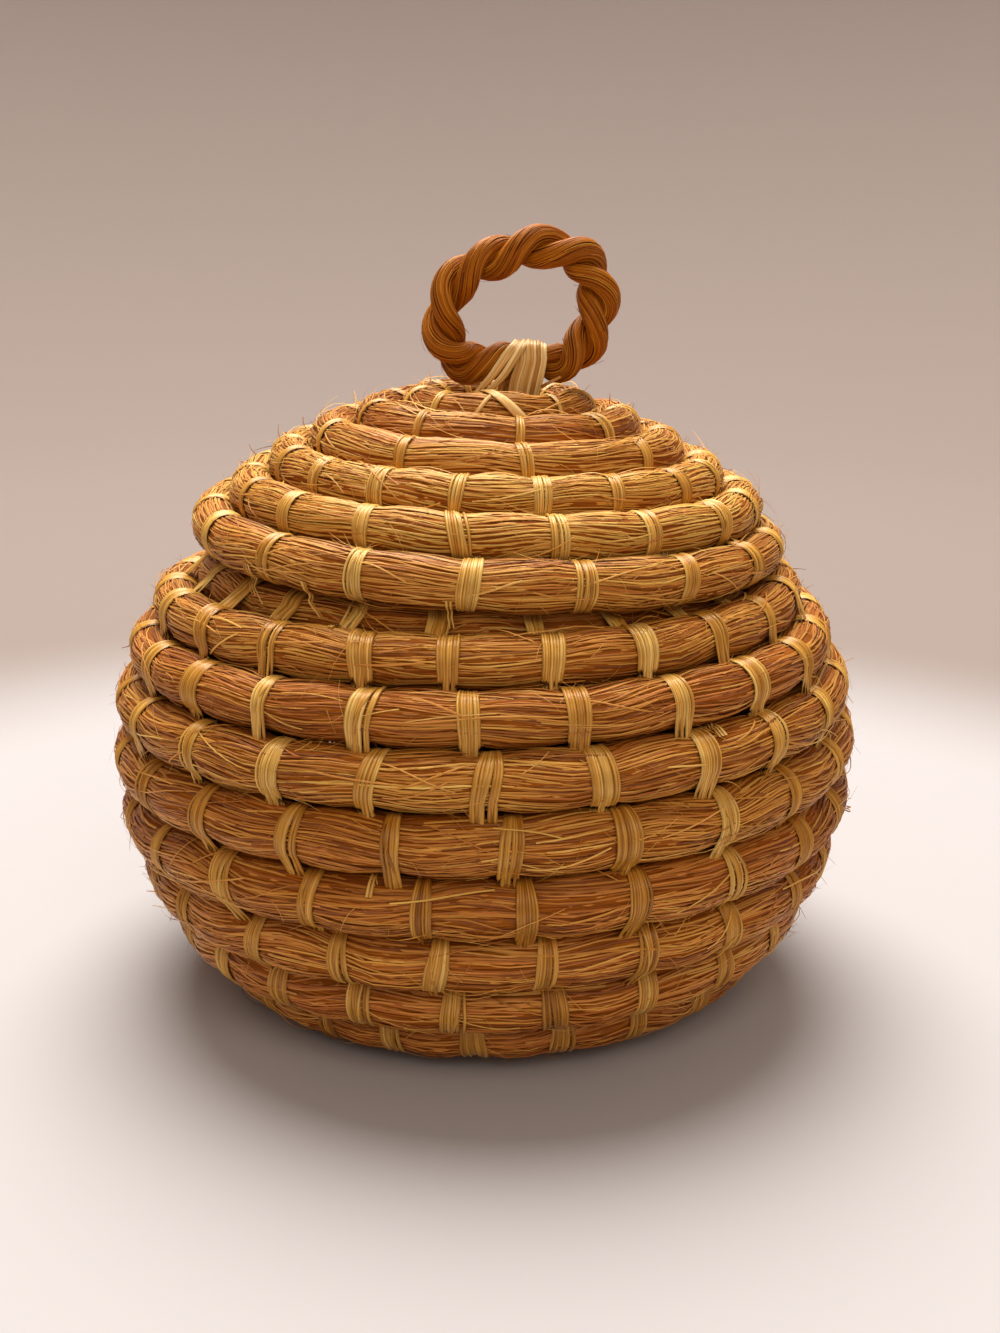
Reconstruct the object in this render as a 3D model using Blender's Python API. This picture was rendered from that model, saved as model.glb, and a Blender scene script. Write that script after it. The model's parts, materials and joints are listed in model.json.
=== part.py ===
"""A lidded coiled basket, at its real size in metres, +Z up, standing on z = 0 with its axis on the origin.

One long bundle of grass winds out from the middle of the base, up the wall and in over the shoulder to
the mouth. Pale sewing strands hold each row to the row before it, and each stitch passes through the
stitch of the row before, so the stitches run in lines from the base to the rim. The lid is a second coil,
domed, whose last row overhangs the mouth and rests on the rim. A rope ring swings in a raffia binding at
the middle of the lid, and the binding passes down through the lid to a knot.
"""

import math

import bmesh
import bpy
import numpy as np
from mathutils import Matrix, Vector
from mathutils.bvhtree import BVHTree

# The body's coil, along the middle of the bundle
BELLY_RADIUS = 0.0788
WALL_HEIGHT = 0.0901
BODY_START_RADIUS = 0.0045
BODY_START_ANGLE = 65.0
BODY_START_DIAMETER = 0.0046
BASE_COIL_DIAMETER = 0.0120
BELLY_COIL_DIAMETER = 0.0130
RIM_COIL_DIAMETER = 0.0104
ROW_GAP = 0.0007

# The lid's coil, along the middle of the bundle
LID_RADIUS = 0.0622
LID_DROP = 0.0300
LID_START_RADIUS = 0.0104
LID_START_ANGLE = 22.0
LID_START_DIAMETER = 0.0080
LID_COIL_DIAMETER = 0.0100
SEAT_GAP = 0.0004

# Sewing strands
STITCH_WIDTH = 0.0050
STITCH_THICKNESS = 0.0006
STITCH_GAP = 0.0003
BODY_STITCH_LINES = 23
BODY_STITCH_LEAN = 0.0039
BODY_STITCH_START_SHARE = 0.92
LID_STITCH_LINES = 18
LID_STITCH_LEAN = 0.0020
LID_STITCH_START_SHARE = 0.74
LID_CROWN_SKIP = 2
LID_CROWN_REACH = 0.0400

# The rope ring and what holds it
ROPE_DIAMETER = 0.0080
RING_WIDTH = 0.0345
RING_HEIGHT = 0.0270
RING_OFFSET = 0.0060
FITTING_GAP = 0.0003
BINDING_WIDTH = 0.0085
BINDING_THICKNESS = 0.0018
BINDING_LEG_SPREAD = 0.0100
BINDING_LEG_LEAN = 0.0040
KNOT_RADIUS = 0.0085
KNOT_HEIGHT = 0.0060
KNOT_NEST = 0.0022

# Counts, angles and shares
POINTS_PER_TURN = 24
COIL_SIDES_RESOLUTION = 1
END_TAPER_TURNS = 0.40
LID_END_TAPER_TURNS = 0.50
END_DIAMETER_SHARE = 0.35
STANDING_FLAT_SHARE = 0.10
SAMPLES_PER_SPAN = 40
SETTLING_ROUNDS = 6
SEAT_SAMPLES = 8
STITCH_BEND_ANGLE = 50.0
STITCH_FACE_ANGLE = 17.0
RING_POINTS = 36
RING_SIDES_RESOLUTION = 3
BINDING_ARC_STEP = 20
KNOT_SEGMENTS = 16
KNOT_RINGS = 8

# The middle of the body's coil: radius as a share of the belly's, height as a share of the wall's
BODY_PROFILE_SHARES = (
    (0.000, 0.000), (0.250, 0.000), (0.450, 0.000), (0.575, 0.004), (0.723, 0.044), (0.838, 0.144),
    (0.925, 0.280), (0.981, 0.431), (1.000, 0.585), (0.987, 0.734), (0.937, 0.860), (0.866, 0.962),
    (0.790, 0.995), (0.723, 1.000), (0.660, 1.006),
)
# The middle of the lid's coil: radius as a share of the lid's, depth below the crown as a share of the drop
LID_PROFILE_SHARES = (
    (0.000, 0.000), (0.140, 0.020), (0.267, 0.067), (0.437, 0.190), (0.594, 0.333), (0.742, 0.513),
    (0.876, 0.712), (0.972, 0.868), (1.000, 0.980), (1.013, 1.170),
)
# Where along the body's profile each coil diameter is reached
COIL_DIAMETER_PLACE_SHARES = (0.10, 0.58, 0.88)

for old in list(bpy.data.objects):
    bpy.data.objects.remove(old, do_unlink=True)


def material(name, colour, roughness):
    made = bpy.data.materials.new(name)
    made.use_nodes = True
    shader = made.node_tree.nodes["Principled BSDF"]
    shader.inputs["Base Color"].default_value = (*colour, 1.0)
    shader.inputs["Roughness"].default_value = roughness
    shader.inputs["Metallic"].default_value = 0.0
    return made


GRASS = material("grass_bundle", (0.47, 0.24, 0.085), 0.75)
STRAND = material("sewing_strand", (0.66, 0.43, 0.17), 0.60)
ROPE = material("twisted_rope", (0.40, 0.15, 0.035), 0.65)
RAFFIA = material("raffia_binding", (0.70, 0.50, 0.24), 0.60)


def add(name, data, look, parent=None):
    """Links a new object with its own copy of the material, so each sub-part can be coloured alone."""
    item = bpy.data.objects.new(name, data)
    bpy.context.scene.collection.objects.link(item)
    own = look.copy()
    own.name = name + "_" + look.name
    data.materials.append(own)
    if parent:
        item.parent = parent
        item.matrix_parent_inverse = parent.matrix_world.inverted()
    return item


def pivot(name, place):
    empty = bpy.data.objects.new(name, None)
    bpy.context.scene.collection.objects.link(empty)
    empty.location = place
    bpy.context.view_layer.update()
    return empty


class Profile:
    """A smooth curve through points in the (radius, height) half plane, read by its length from the start."""

    def __init__(self, points):
        points = np.array(points, float)
        ends = np.vstack([2 * points[0] - points[1], points, 2 * points[-1] - points[-2]])
        fine = []
        for before, start, stop, after in zip(ends[:-3], ends[1:-2], ends[2:-1], ends[3:]):
            for share in np.linspace(0.0, 1.0, SAMPLES_PER_SPAN, endpoint=False):
                cubic = 2 * start + (stop - before) * share
                cubic = cubic + (2 * before - 5 * start + 4 * stop - after) * share**2
                cubic = cubic + (3 * start - before - 3 * stop + after) * share**3
                fine.append(cubic / 2)
        self.fine = np.vstack([fine, points[-1]])
        steps = np.linalg.norm(np.diff(self.fine, axis=0), axis=1)
        self.lengths = np.concatenate([[0.0], np.cumsum(steps)])
        self.whole = self.lengths[-1]

    def at(self, length):
        return np.array([np.interp(length, self.lengths, self.fine[:, axis]) for axis in (0, 1)])

    def along(self, length):
        """The unit direction in which the curve runs at this length."""
        step = self.whole / len(self.fine)
        run = self.at(length + step) - self.at(length - step)
        return run / np.linalg.norm(run)


class Coil:
    """A bundle wound in rows along a profile: each turn lies one bundle and one gap from the turn before."""

    def __init__(self, profile, start_radius, start_angle, start_diameter, diameter_at, taper_turns):
        self.profile = profile
        self.start_angle = math.radians(start_angle)
        self.start = (start_radius, start_diameter)
        self.diameter_at = diameter_at
        whole = self.wind(None, 0)
        taper = round(taper_turns * POINTS_PER_TURN)
        self.lengths, self.diameters = (np.array(row) for row in self.wind(len(whole[0]), taper))

    def wind(self, count, taper):
        start_radius, start_diameter = self.start
        lengths, diameters = [], []
        while len(lengths) != count and (count or not lengths or lengths[-1] < self.profile.whole):
            done = len(lengths)
            thinned = 1.0
            if count and done >= count - taper:
                thinned = 1.0 - (1.0 - END_DIAMETER_SHARE) * (done - count + taper + 1) / taper
            if done < POINTS_PER_TURN:
                grown = done / POINTS_PER_TURN
                whole_diameter = self.diameter_at(0.0)
                diameter = start_diameter + (whole_diameter - start_diameter) * grown
                length = start_radius + ((whole_diameter + start_diameter) / 2 + ROW_GAP) * grown
            else:
                below = done - POINTS_PER_TURN
                diameter = self.diameter_at(lengths[-1]) * thinned
                apart = (diameter + diameters[below]) / 2 + ROW_GAP
                length = self.next_length(lengths[below], apart)
            lengths.append(length)
            diameters.append(diameter)
        return lengths, diameters

    def next_length(self, below, apart):
        """The length whose point lies this far, straight across, from the point of the row below."""
        length = below + apart
        for _ in range(SETTLING_ROUNDS):
            reached = np.linalg.norm(self.reach(length) - self.profile.at(below))
            length += apart - reached
        return length

    def reach(self, length):
        """A point of the profile, which runs straight on past its end."""
        past = max(length - self.profile.whole, 0.0)
        return self.profile.at(length) + past * self.profile.along(self.profile.whole)

    def angle(self, index):
        return self.start_angle + 2 * math.pi * index / POINTS_PER_TURN

    def points(self, lift=0.0):
        """The points of the bundle's middle line."""
        placed = []
        for index, length in enumerate(self.lengths):
            radius, height = self.reach(length)
            angle = self.angle(index)
            placed.append((radius * math.cos(angle), radius * math.sin(angle), height + lift))
        return np.array(placed)


def least_gap(coil):
    """The least distance between the bundle's surface and that of any turn but its own neighbourhood."""
    points = coil.points()
    least = math.inf
    for index in range(len(points) - POINTS_PER_TURN // 2):
        others = slice(index + POINTS_PER_TURN // 2, None)
        apart = np.linalg.norm(points[others] - points[index], axis=1)
        radii = (coil.diameters[others] + coil.diameters[index]) / 2
        least = min(least, float((apart - radii).min()))
    return least


def coil_mesh(name, coil, lift=0.0):
    """The unbroken tube of the bundle, as a mesh."""
    curve = bpy.data.curves.new(name + "_path", "CURVE")
    curve.dimensions = "3D"
    curve.twist_mode = "Z_UP"
    curve.bevel_depth = 1.0
    curve.bevel_resolution = COIL_SIDES_RESOLUTION
    curve.use_fill_caps = True
    spline = curve.splines.new("POLY")
    placed = coil.points(lift)
    spline.points.add(len(placed) - 1)
    for point, place, diameter in zip(spline.points, placed, coil.diameters):
        point.co = (*place, 1.0)
        point.radius = diameter / 2
    guide = bpy.data.objects.new(name + "_guide", curve)
    bpy.context.scene.collection.objects.link(guide)
    graph = bpy.context.evaluated_depsgraph_get()
    mesh = bpy.data.meshes.new_from_object(guide.evaluated_get(graph))
    bpy.data.objects.remove(guide, do_unlink=True)
    mesh.name = name
    mesh.materials.clear()
    mesh.shade_smooth()
    return mesh


def body_coil_diameter(profile):
    places = np.array(COIL_DIAMETER_PLACE_SHARES) * profile.whole
    sizes = (BASE_COIL_DIAMETER, BELLY_COIL_DIAMETER, RIM_COIL_DIAMETER)
    return lambda length: float(np.interp(length, places, sizes))


def stitch_line(name, coil, lift, first_index, row_step, chosen, look, parent):
    """One line of linked stitches over the outer face of each row that it crosses."""
    bends = np.radians((-STITCH_BEND_ANGLE, -STITCH_FACE_ANGLE, STITCH_FACE_ANGLE, STITCH_BEND_ANGLE))
    chord_share = math.cos(math.radians(STITCH_FACE_ANGLE))
    rings = []
    index = first_index
    while index <= len(coil.lengths) - 1:
        whole = int(index)
        share = index - whole
        pick = min(whole + 1, len(coil.lengths) - 1)
        length = coil.lengths[whole] * (1 - share) + coil.lengths[pick] * share
        diameter = coil.diameters[whole] * (1 - share) + coil.diameters[pick] * share
        radius, height = coil.reach(length)
        angle = coil.angle(index)
        use = chosen(length, height, index)
        if use:
            along = coil.profile.along(min(length, coil.profile.whole))
            out = np.array([along[1], -along[0]]) * (1.0 if coil.profile.fine[-1][1] > 0 else -1.0)
            stand = (diameter / 2 + STITCH_GAP + STITCH_THICKNESS / 2) / chord_share
            radial = Vector((math.cos(angle), math.sin(angle), 0.0))
            across = Vector((-math.sin(angle), math.cos(angle), 0.0)) * (STITCH_WIDTH / 2)
            for bend in bends[use[0]:use[1]]:
                facing = out * math.cos(bend) + along * math.sin(bend)
                middle = np.array([radius, height]) + facing * stand
                centre = radial * middle[0] + Vector((0.0, 0.0, middle[1] + lift))
                depth = (radial * facing[0] + Vector((0.0, 0.0, facing[1]))) * (STITCH_THICKNESS / 2)
                rings.append([centre - across - depth, centre + across - depth,
                              centre + across + depth, centre - across + depth])
        index += row_step
    shape = bmesh.new()
    loops = [[shape.verts.new(place) for place in ring] for ring in rings]
    for low, high in zip(loops[:-1], loops[1:]):
        for side in range(4):
            shape.faces.new((low[side], low[side - 3], high[side - 3], high[side]))
    shape.faces.new(reversed(loops[0]))
    shape.faces.new(loops[-1])
    bmesh.ops.recalc_face_normals(shape, faces=shape.faces)
    mesh = bpy.data.meshes.new(name)
    shape.to_mesh(mesh)
    shape.free()
    return add(name, mesh, look, parent)


def make_body():
    base_height = BASE_COIL_DIAMETER * (0.5 - STANDING_FLAT_SHARE)
    outline = [(radius * BELLY_RADIUS, height * WALL_HEIGHT) for radius, height in BODY_PROFILE_SHARES]
    profile = Profile(outline)
    coil = Coil(profile, BODY_START_RADIUS, BODY_START_ANGLE, BODY_START_DIAMETER,
                body_coil_diameter(profile), END_TAPER_TURNS)
    print("least gap of the body's coil to itself, mm:", round(least_gap(coil) * 1000, 2))
    mesh = coil_mesh("body_coil", coil, base_height)
    body = add("body_coil", mesh, GRASS)
    cut = bpy.data.meshes.new("standing_cut")
    shape = bmesh.new()
    bmesh.ops.create_cube(shape, size=1.0)
    reach = 2 * (BELLY_RADIUS + BELLY_COIL_DIAMETER)
    bmesh.ops.scale(shape, vec=(reach, reach, BASE_COIL_DIAMETER), verts=shape.verts)
    bmesh.ops.translate(shape, vec=(0.0, 0.0, -BASE_COIL_DIAMETER / 2), verts=shape.verts)
    shape.to_mesh(cut)
    shape.free()
    cutter = bpy.data.objects.new("standing_cutter", cut)
    bpy.context.scene.collection.objects.link(cutter)
    cutter.hide_render = True
    cutter.display_type = "WIRE"
    flat = body.modifiers.new("standing_flat", "BOOLEAN")
    flat.operation = "DIFFERENCE"
    flat.object = cutter
    return coil, base_height, mesh


def body_stitches(coil, lift):
    last_row = len(coil.lengths) - round((1 + END_TAPER_TURNS) * POINTS_PER_TURN)
    clear_height = BASE_COIL_DIAMETER / 2 + STITCH_GAP + 2 * STITCH_THICKNESS

    def chosen(length, height, index):
        if height + lift < clear_height or index > last_row:
            return None
        if index > last_row - POINTS_PER_TURN:
            return (0, 3)
        return (0, 4)

    row_step = POINTS_PER_TURN * (1 - BODY_STITCH_LEAN / (2 * math.pi * BELLY_RADIUS))
    meshes = []
    for line in range(BODY_STITCH_LINES):
        name = f"body_stitches_{line + 1:02d}"
        first = row_step * (line + BODY_STITCH_START_SHARE) / BODY_STITCH_LINES
        meshes.append(stitch_line(name, coil, lift, first, row_step, chosen, STRAND, None).data)
    return meshes


def surface_tree(meshes):
    shape = bmesh.new()
    for mesh in meshes:
        shape.from_mesh(mesh)
    tree = BVHTree.FromBMesh(shape)
    shape.free()
    return tree


def edge_spots(mesh):
    """Places spread along every edge of a mesh."""
    ends = np.array([vertex.co for vertex in mesh.vertices])
    pairs = np.array([edge.vertices for edge in mesh.edges])
    shares = np.linspace(0.0, 1.0, SEAT_SAMPLES, endpoint=False)[:, None, None]
    return (ends[pairs[:, 0]] * (1 - shares) + ends[pairs[:, 1]] * shares).reshape(-1, 3)


def seat_height(body, lid):
    """How far up the lid's mesh goes to stand on the body's meshes, one seat gap short of touching them."""
    below, above = surface_tree(body), surface_tree([lid])
    up, down = Vector((0.0, 0.0, 1.0)), Vector((0.0, 0.0, -1.0))
    far = up * (WALL_HEIGHT + LID_DROP + BELLY_COIL_DIAMETER)
    level = -math.inf
    for x, y, _ in np.vstack([edge_spots(mesh) for mesh in (*body, lid)]):
        spot = Vector((x, y, 0.0))
        top = below.ray_cast(spot + far, down)[0]
        bottom = above.ray_cast(spot - far, up)[0]
        if top and bottom:
            level = max(level, top.z - bottom.z)
    return level + SEAT_GAP


def make_lid(body):
    outline = [(radius * LID_RADIUS, -depth * LID_DROP) for radius, depth in LID_PROFILE_SHARES]
    coil = Coil(Profile(outline), LID_START_RADIUS, LID_START_ANGLE, LID_START_DIAMETER,
                lambda length: LID_COIL_DIAMETER, LID_END_TAPER_TURNS)
    print("least gap of the lid's coil to itself, mm:", round(least_gap(coil) * 1000, 2))
    mesh = coil_mesh("lid_coil", coil)
    lift = seat_height(body, mesh)
    mesh.transform(Matrix.Translation((0.0, 0.0, lift)))
    lid = pivot("lid_origin", (0.0, 0.0, lift))
    add("lid_coil", mesh, GRASS, lid)
    return coil, lift, lid


def lid_stitches(coil, lift, lid):
    last_row = len(coil.lengths) - round(LID_END_TAPER_TURNS * POINTS_PER_TURN / 2)

    def chosen_from(reach):
        def chosen(length, height, index):
            if length < reach or index > last_row:
                return None
            if index > last_row - POINTS_PER_TURN:
                return (0, 3)
            return (0, 4)
        return chosen

    row_step = POINTS_PER_TURN * (1 + LID_STITCH_LEAN / (2 * math.pi * LID_RADIUS))
    for line in range(LID_STITCH_LINES):
        first = row_step * (line + LID_STITCH_START_SHARE) / LID_STITCH_LINES
        reach = LID_CROWN_REACH if line % LID_CROWN_SKIP else LID_START_RADIUS + LID_COIL_DIAMETER
        chosen = chosen_from(reach)
        stitch_line(f"lid_stitches_{line + 1:02d}", coil, lift, first, row_step, chosen, STRAND, lid)


def make_handle(lift, lid):
    crown_top = lift + LID_COIL_DIAMETER / 2
    foot = crown_top + FITTING_GAP + ROPE_DIAMETER / 2
    hinge = pivot("ring_hinge", (RING_OFFSET, 0.0, foot))
    print("ring hinge:", tuple(round(value, 5) for value in hinge.location))
    curve = bpy.data.curves.new("handle_rope", "CURVE")
    curve.dimensions = "3D"
    curve.bevel_depth = ROPE_DIAMETER / 2
    curve.bevel_resolution = RING_SIDES_RESOLUTION
    spline = curve.splines.new("POLY")
    spline.points.add(RING_POINTS - 1)
    for index, point in enumerate(spline.points):
        turn = 2 * math.pi * index / RING_POINTS
        place = Vector((math.sin(turn) * RING_WIDTH / 2, 0.0, (1 - math.cos(turn)) * RING_HEIGHT / 2))
        point.co = (*place, 1.0)
    spline.use_cyclic_u = True
    ring = add("handle_rope", curve, ROPE)
    ring.parent = hinge
    # The binding: a strap over the ring's foot, whose two legs lean in and pass down through the crown
    foot_share = 1 - math.sqrt(1 - (BINDING_WIDTH / RING_WIDTH)**2)
    inner = ROPE_DIAMETER / 2 + RING_HEIGHT / 2 * foot_share + FITTING_GAP
    outer = inner + BINDING_THICKNESS
    bottom = lift - LID_START_DIAMETER / 2 + KNOT_NEST
    knee = foot - ROPE_DIAMETER / 2
    neck = knee - BINDING_LEG_LEAN
    arc = [math.radians(angle) for angle in range(0, 181, BINDING_ARC_STEP)]
    over = [(outer * math.cos(angle), foot + outer * math.sin(angle)) for angle in arc]
    under = [(inner * math.cos(angle), foot + inner * math.sin(angle)) for angle in reversed(arc)]
    wide, narrow = BINDING_LEG_SPREAD / 2, BINDING_LEG_SPREAD / 2 - BINDING_THICKNESS
    outline = [(wide, bottom), (wide, neck), (outer, knee), *over,
               (-outer, knee), (-wide, neck), (-wide, bottom),
               (-narrow, bottom), (-narrow, neck), (-inner, knee), *under,
               (inner, knee), (narrow, neck), (narrow, bottom)]
    shape = bmesh.new()
    sides = []
    for edge in (-BINDING_WIDTH / 2, BINDING_WIDTH / 2):
        leans = [RING_OFFSET * min(max((z - neck) / (foot - neck), 0.0), 1.0) for _, z in outline]
        sides.append([shape.verts.new((edge + lean, y, z)) for lean, (y, z) in zip(leans, outline)])
    near, far = sides
    for index in range(len(outline)):
        shape.faces.new((near[index], near[index - 1], far[index - 1], far[index]))
    half = len(outline) // 2
    for index in range(half - 1):
        back = -index - 1
        for side in sides:
            shape.faces.new((side[index], side[index + 1], side[back - 1], side[back]))
    bmesh.ops.recalc_face_normals(shape, faces=shape.faces)
    mesh = bpy.data.meshes.new("handle_binding")
    shape.to_mesh(mesh)
    shape.free()
    add("handle_binding", mesh, RAFFIA, lid)
    # The knot under the lid, drawn up into the middle of the coil
    shape = bmesh.new()
    bmesh.ops.create_uvsphere(shape, u_segments=KNOT_SEGMENTS, v_segments=KNOT_RINGS, radius=1.0)
    bmesh.ops.scale(shape, vec=(KNOT_RADIUS, KNOT_RADIUS, KNOT_HEIGHT / 2), verts=shape.verts)
    place = (0.0, 0.0, bottom - FITTING_GAP - KNOT_HEIGHT / 2)
    bmesh.ops.translate(shape, vec=place, verts=shape.verts)
    mesh = bpy.data.meshes.new("binding_knot")
    shape.to_mesh(mesh)
    shape.free()
    mesh.shade_smooth()
    add("binding_knot", mesh, RAFFIA, lid)


body, body_lift, body_mesh = make_body()
stitch_meshes = body_stitches(body, body_lift)
lid_coil, lid_lift, lid = make_lid([body_mesh, *stitch_meshes])
lid_stitches(lid_coil, lid_lift, lid)
make_handle(lid_lift, lid)
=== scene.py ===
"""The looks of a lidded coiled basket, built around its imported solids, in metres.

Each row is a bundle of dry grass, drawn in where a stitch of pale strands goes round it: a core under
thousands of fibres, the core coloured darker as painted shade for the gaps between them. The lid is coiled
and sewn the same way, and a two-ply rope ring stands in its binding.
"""

import json
import math

import bpy
import numpy as np
from mathutils import Matrix, Vector


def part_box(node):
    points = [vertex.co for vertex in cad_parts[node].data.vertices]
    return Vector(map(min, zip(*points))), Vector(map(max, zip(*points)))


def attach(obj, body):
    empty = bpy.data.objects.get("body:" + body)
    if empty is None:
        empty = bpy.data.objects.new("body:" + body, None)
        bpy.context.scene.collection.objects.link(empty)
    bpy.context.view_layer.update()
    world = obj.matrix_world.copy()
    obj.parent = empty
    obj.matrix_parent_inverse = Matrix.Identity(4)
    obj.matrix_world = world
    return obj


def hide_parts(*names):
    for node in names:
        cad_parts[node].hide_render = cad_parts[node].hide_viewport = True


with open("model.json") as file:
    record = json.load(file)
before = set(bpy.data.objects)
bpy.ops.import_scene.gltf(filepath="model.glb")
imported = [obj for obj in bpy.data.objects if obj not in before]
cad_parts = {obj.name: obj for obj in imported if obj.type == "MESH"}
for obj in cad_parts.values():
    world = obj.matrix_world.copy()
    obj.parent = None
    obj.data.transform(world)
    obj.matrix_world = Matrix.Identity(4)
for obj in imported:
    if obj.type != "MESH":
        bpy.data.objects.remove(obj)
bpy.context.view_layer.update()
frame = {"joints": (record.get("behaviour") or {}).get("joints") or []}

HINGE = np.array(next(joint["pos_m"] for joint in frame["joints"] if joint["name"] == "handle_swing"))

# The body's coil, as the solid has it
BELLY_RADIUS = 0.0788
WALL_HEIGHT = 0.0901
BODY_START_RADIUS = 0.0045
BODY_START_ANGLE = 65.0
BODY_START_DIAMETER = 0.0046
BASE_COIL_DIAMETER = 0.0120
BELLY_COIL_DIAMETER = 0.0130
RIM_COIL_DIAMETER = 0.0104
ROW_GAP = 0.0007
STANDING_FLAT_SHARE = 0.10
BODY_TAPER_TURNS = 0.40
BODY_PROFILE_SHARES = (
    (0.000, 0.000), (0.250, 0.000), (0.450, 0.000), (0.575, 0.004), (0.723, 0.044), (0.838, 0.144),
    (0.925, 0.280), (0.981, 0.431), (1.000, 0.585), (0.987, 0.734), (0.937, 0.860), (0.866, 0.962),
    (0.790, 0.995), (0.723, 1.000), (0.660, 1.006),
)
COIL_DIAMETER_PLACE_SHARES = (0.10, 0.58, 0.88)

# The lid's coil, as the solid has it
LID_RADIUS = 0.0622
LID_DROP = 0.0300
LID_START_RADIUS = 0.0104
LID_START_ANGLE = 22.0
LID_START_DIAMETER = 0.0080
LID_COIL_DIAMETER = 0.0100
LID_TAPER_TURNS = 0.50
LID_PROFILE_SHARES = (
    (0.000, 0.000), (0.140, 0.020), (0.267, 0.067), (0.437, 0.190), (0.594, 0.333), (0.742, 0.513),
    (0.876, 0.712), (0.972, 0.868), (1.000, 0.980), (1.013, 1.170),
)

# Both coils
POINTS_PER_TURN = 24
END_DIAMETER_SHARE = 0.35
SAMPLES_PER_SPAN = 40
SETTLING_ROUNDS = 6
FINE_STEPS = 12
TANGENT_REACH = 0.0004
PINCH_SHARE = 0.13
PINCH_LENGTH = 0.0042
TIP_LENGTH = 0.0060
FLOOR_PRESS = 0.0022
CORE_STEP = 0.0032
CORE_DEPTH = 0.00015

# Sewing
BODY_STITCH_LINES = 23
BODY_STITCH_LEAN = 0.0039
BODY_STITCH_START_SHARE = 0.92
BODY_FIRST_STITCH_INDEX = 14
LID_STITCH_LINES = 18
LID_STITCH_LEAN = 0.0020
LID_STITCH_START_SHARE = 0.74
LID_FULL_LINES_RADIUS = 0.0385
LID_STRAND_SHARE = 0.88
CLOSING_STITCHES = (0.0165, 0.0120, 0.0080, 0.0045)
STITCH_WANDER = 0.0008
STITCH_LEAST_SPACING = 0.0072
STITCH_HALF_WIDTH = 0.0028
STITCH_STRANDS = 8
STITCH_STRAND_WIDTH = 0.00068
STRAND_WIDTH_SHARES = (0.95, 1.40)
STRAND_PITCH_SHARES = (0.78, 0.90)
STRAND_WANDER = 0.00010
STITCH_SLANT = 0.00045
STITCH_RIDGE = 0.00036
STRAND_RIDGE_SHARES = (0.7, 1.3)
STITCH_LIFT = 0.00022
STITCH_HEAP = 0.00028
STITCH_DEPTH = 0.0011
CROSSING_SHARE = 0.40
CROSSING_LIFT = 0.00030
CROWN_RADII = (0.018, 0.060)
CROWN_STRANDS_SHARES = (0.45, 1.0)
# Places round a bundle, in degrees from its outer side towards the row after it
STITCH_BACK_ANGLES = (250.0, 112.0)
STITCH_FRONT_ANGLE = 98.0
UNLINKED_END_ANGLE = -95.0
BODY_ENTRY_ANGLES = (60.0, 80.0)
LID_ENTRY_ANGLES = (84.0, 98.0)
STITCH_BACK_POINTS = 6
STITCH_FRONT_POINTS = 11
# How far the strands spread where they come over the row and where they leave it
TOP_FAN_SHARES = (0.55, 1.0)
LOW_FAN_SHARES = (0.80, 0.975)
# Radians by which the outer strands go in higher, all go in lower, run on inside and wander
ENTRY_ROUNDING = 0.13
ENTRY_DROP = 0.04
ENTRY_RUN = 0.06
ENTRY_WANDER = 0.035
TAIL_SPACING = 0.0007
TAIL_WIDTH = 0.00052
TAIL_STEP = 0.0012
TAIL_DROP = 0.0026
TAIL_SWING = 0.0040
TAIL_ANGLES = (40.0, 62.0, 84.0)
TAIL_LIFTS = (0.0005, 0.0006, 0.0005)

# Bundles of grass, each in a few pieces
BODY_PART_SHARES = (0.0, 0.30, 0.52, 0.76, 1.0)
LID_PART_SHARES = (0.0, 0.55, 1.0)
LANES = 84
LANE_CROWDING_SHARE = 0.40
LANE_WANDER_SHARE = 0.35
CLUMP_LANES = 5
CLUMP_LENGTH = 0.026
FIBRE_POINTS = 8
FIBRE_LENGTHS = (0.022, 0.052)
FIBRE_STEP_SHARE = 0.86
SPARE_FIBRES_SHARE = 1.25
FIBRE_OVERRUN = 0.004
FIBRE_WIDTH_SHARES = (1.05, 1.70)
FIBRE_RIDGE = 0.00013
FIBRE_RIDGE_SHARES = (0.7, 1.5)
FIBRE_TAPER, RIDGE_TAPER = 0.55, 0.6
FIBRE_SINK = 0.00005
FIBRE_HEAP = 0.00009
CLUMP_HEAP = 0.00008
FIBRE_END_DEPTH = 0.0005
TUCK_DEPTH = 0.00022
STRAY_SHARE = 0.07
STRAY_LIFT = 0.00020
# Radians by which fibres slope, bow and sway, and the wavelengths of the sway
CLUMP_SLOPE, FIBRE_SLOPE, STRAY_SLOPE = 0.14, 0.05, 0.50
CLUMP_BOW, FIBRE_BOW = 0.05, 0.03
SWAY, SWAY_LENGTHS = 0.16, (0.031, 0.052, 0.087)
SPREAD, SPREAD_LENGTHS = 0.13, (0.039, 0.071)

# Loose ends and fibres
LOOSE_POINTS = 7
LOOSE_LIFT = 0.00012
LOOSE_WIDTHS = (0.00020, 0.00042)
TUFT_WIDTHS = (0.00012, 0.00028)
FUZZ_WIDTHS = (0.00010, 0.00018)
TUFT_REACH = 0.0022
TUFT_SPREAD = 14.0
# Each kind: radians of slope, lengths, height, whether one end stands free, widths
LYING_FIBRES = (0.55, (0.007, 0.020), 0.0012, False, LOOSE_WIDTHS)
STANDING_FIBRES = (0.35, (0.003, 0.009), 0.0035, True, LOOSE_WIDTHS)
FUZZ_FIBRES = (0.45, (0.0015, 0.005), 0.0022, True, FUZZ_WIDTHS)
TUFT_FIBRES = (0.60, (0.003, 0.009), 0.0045, True, TUFT_WIDTHS)
BODY_LOOSE_FIBRES = 420
LID_LOOSE_FIBRES = 200
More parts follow.
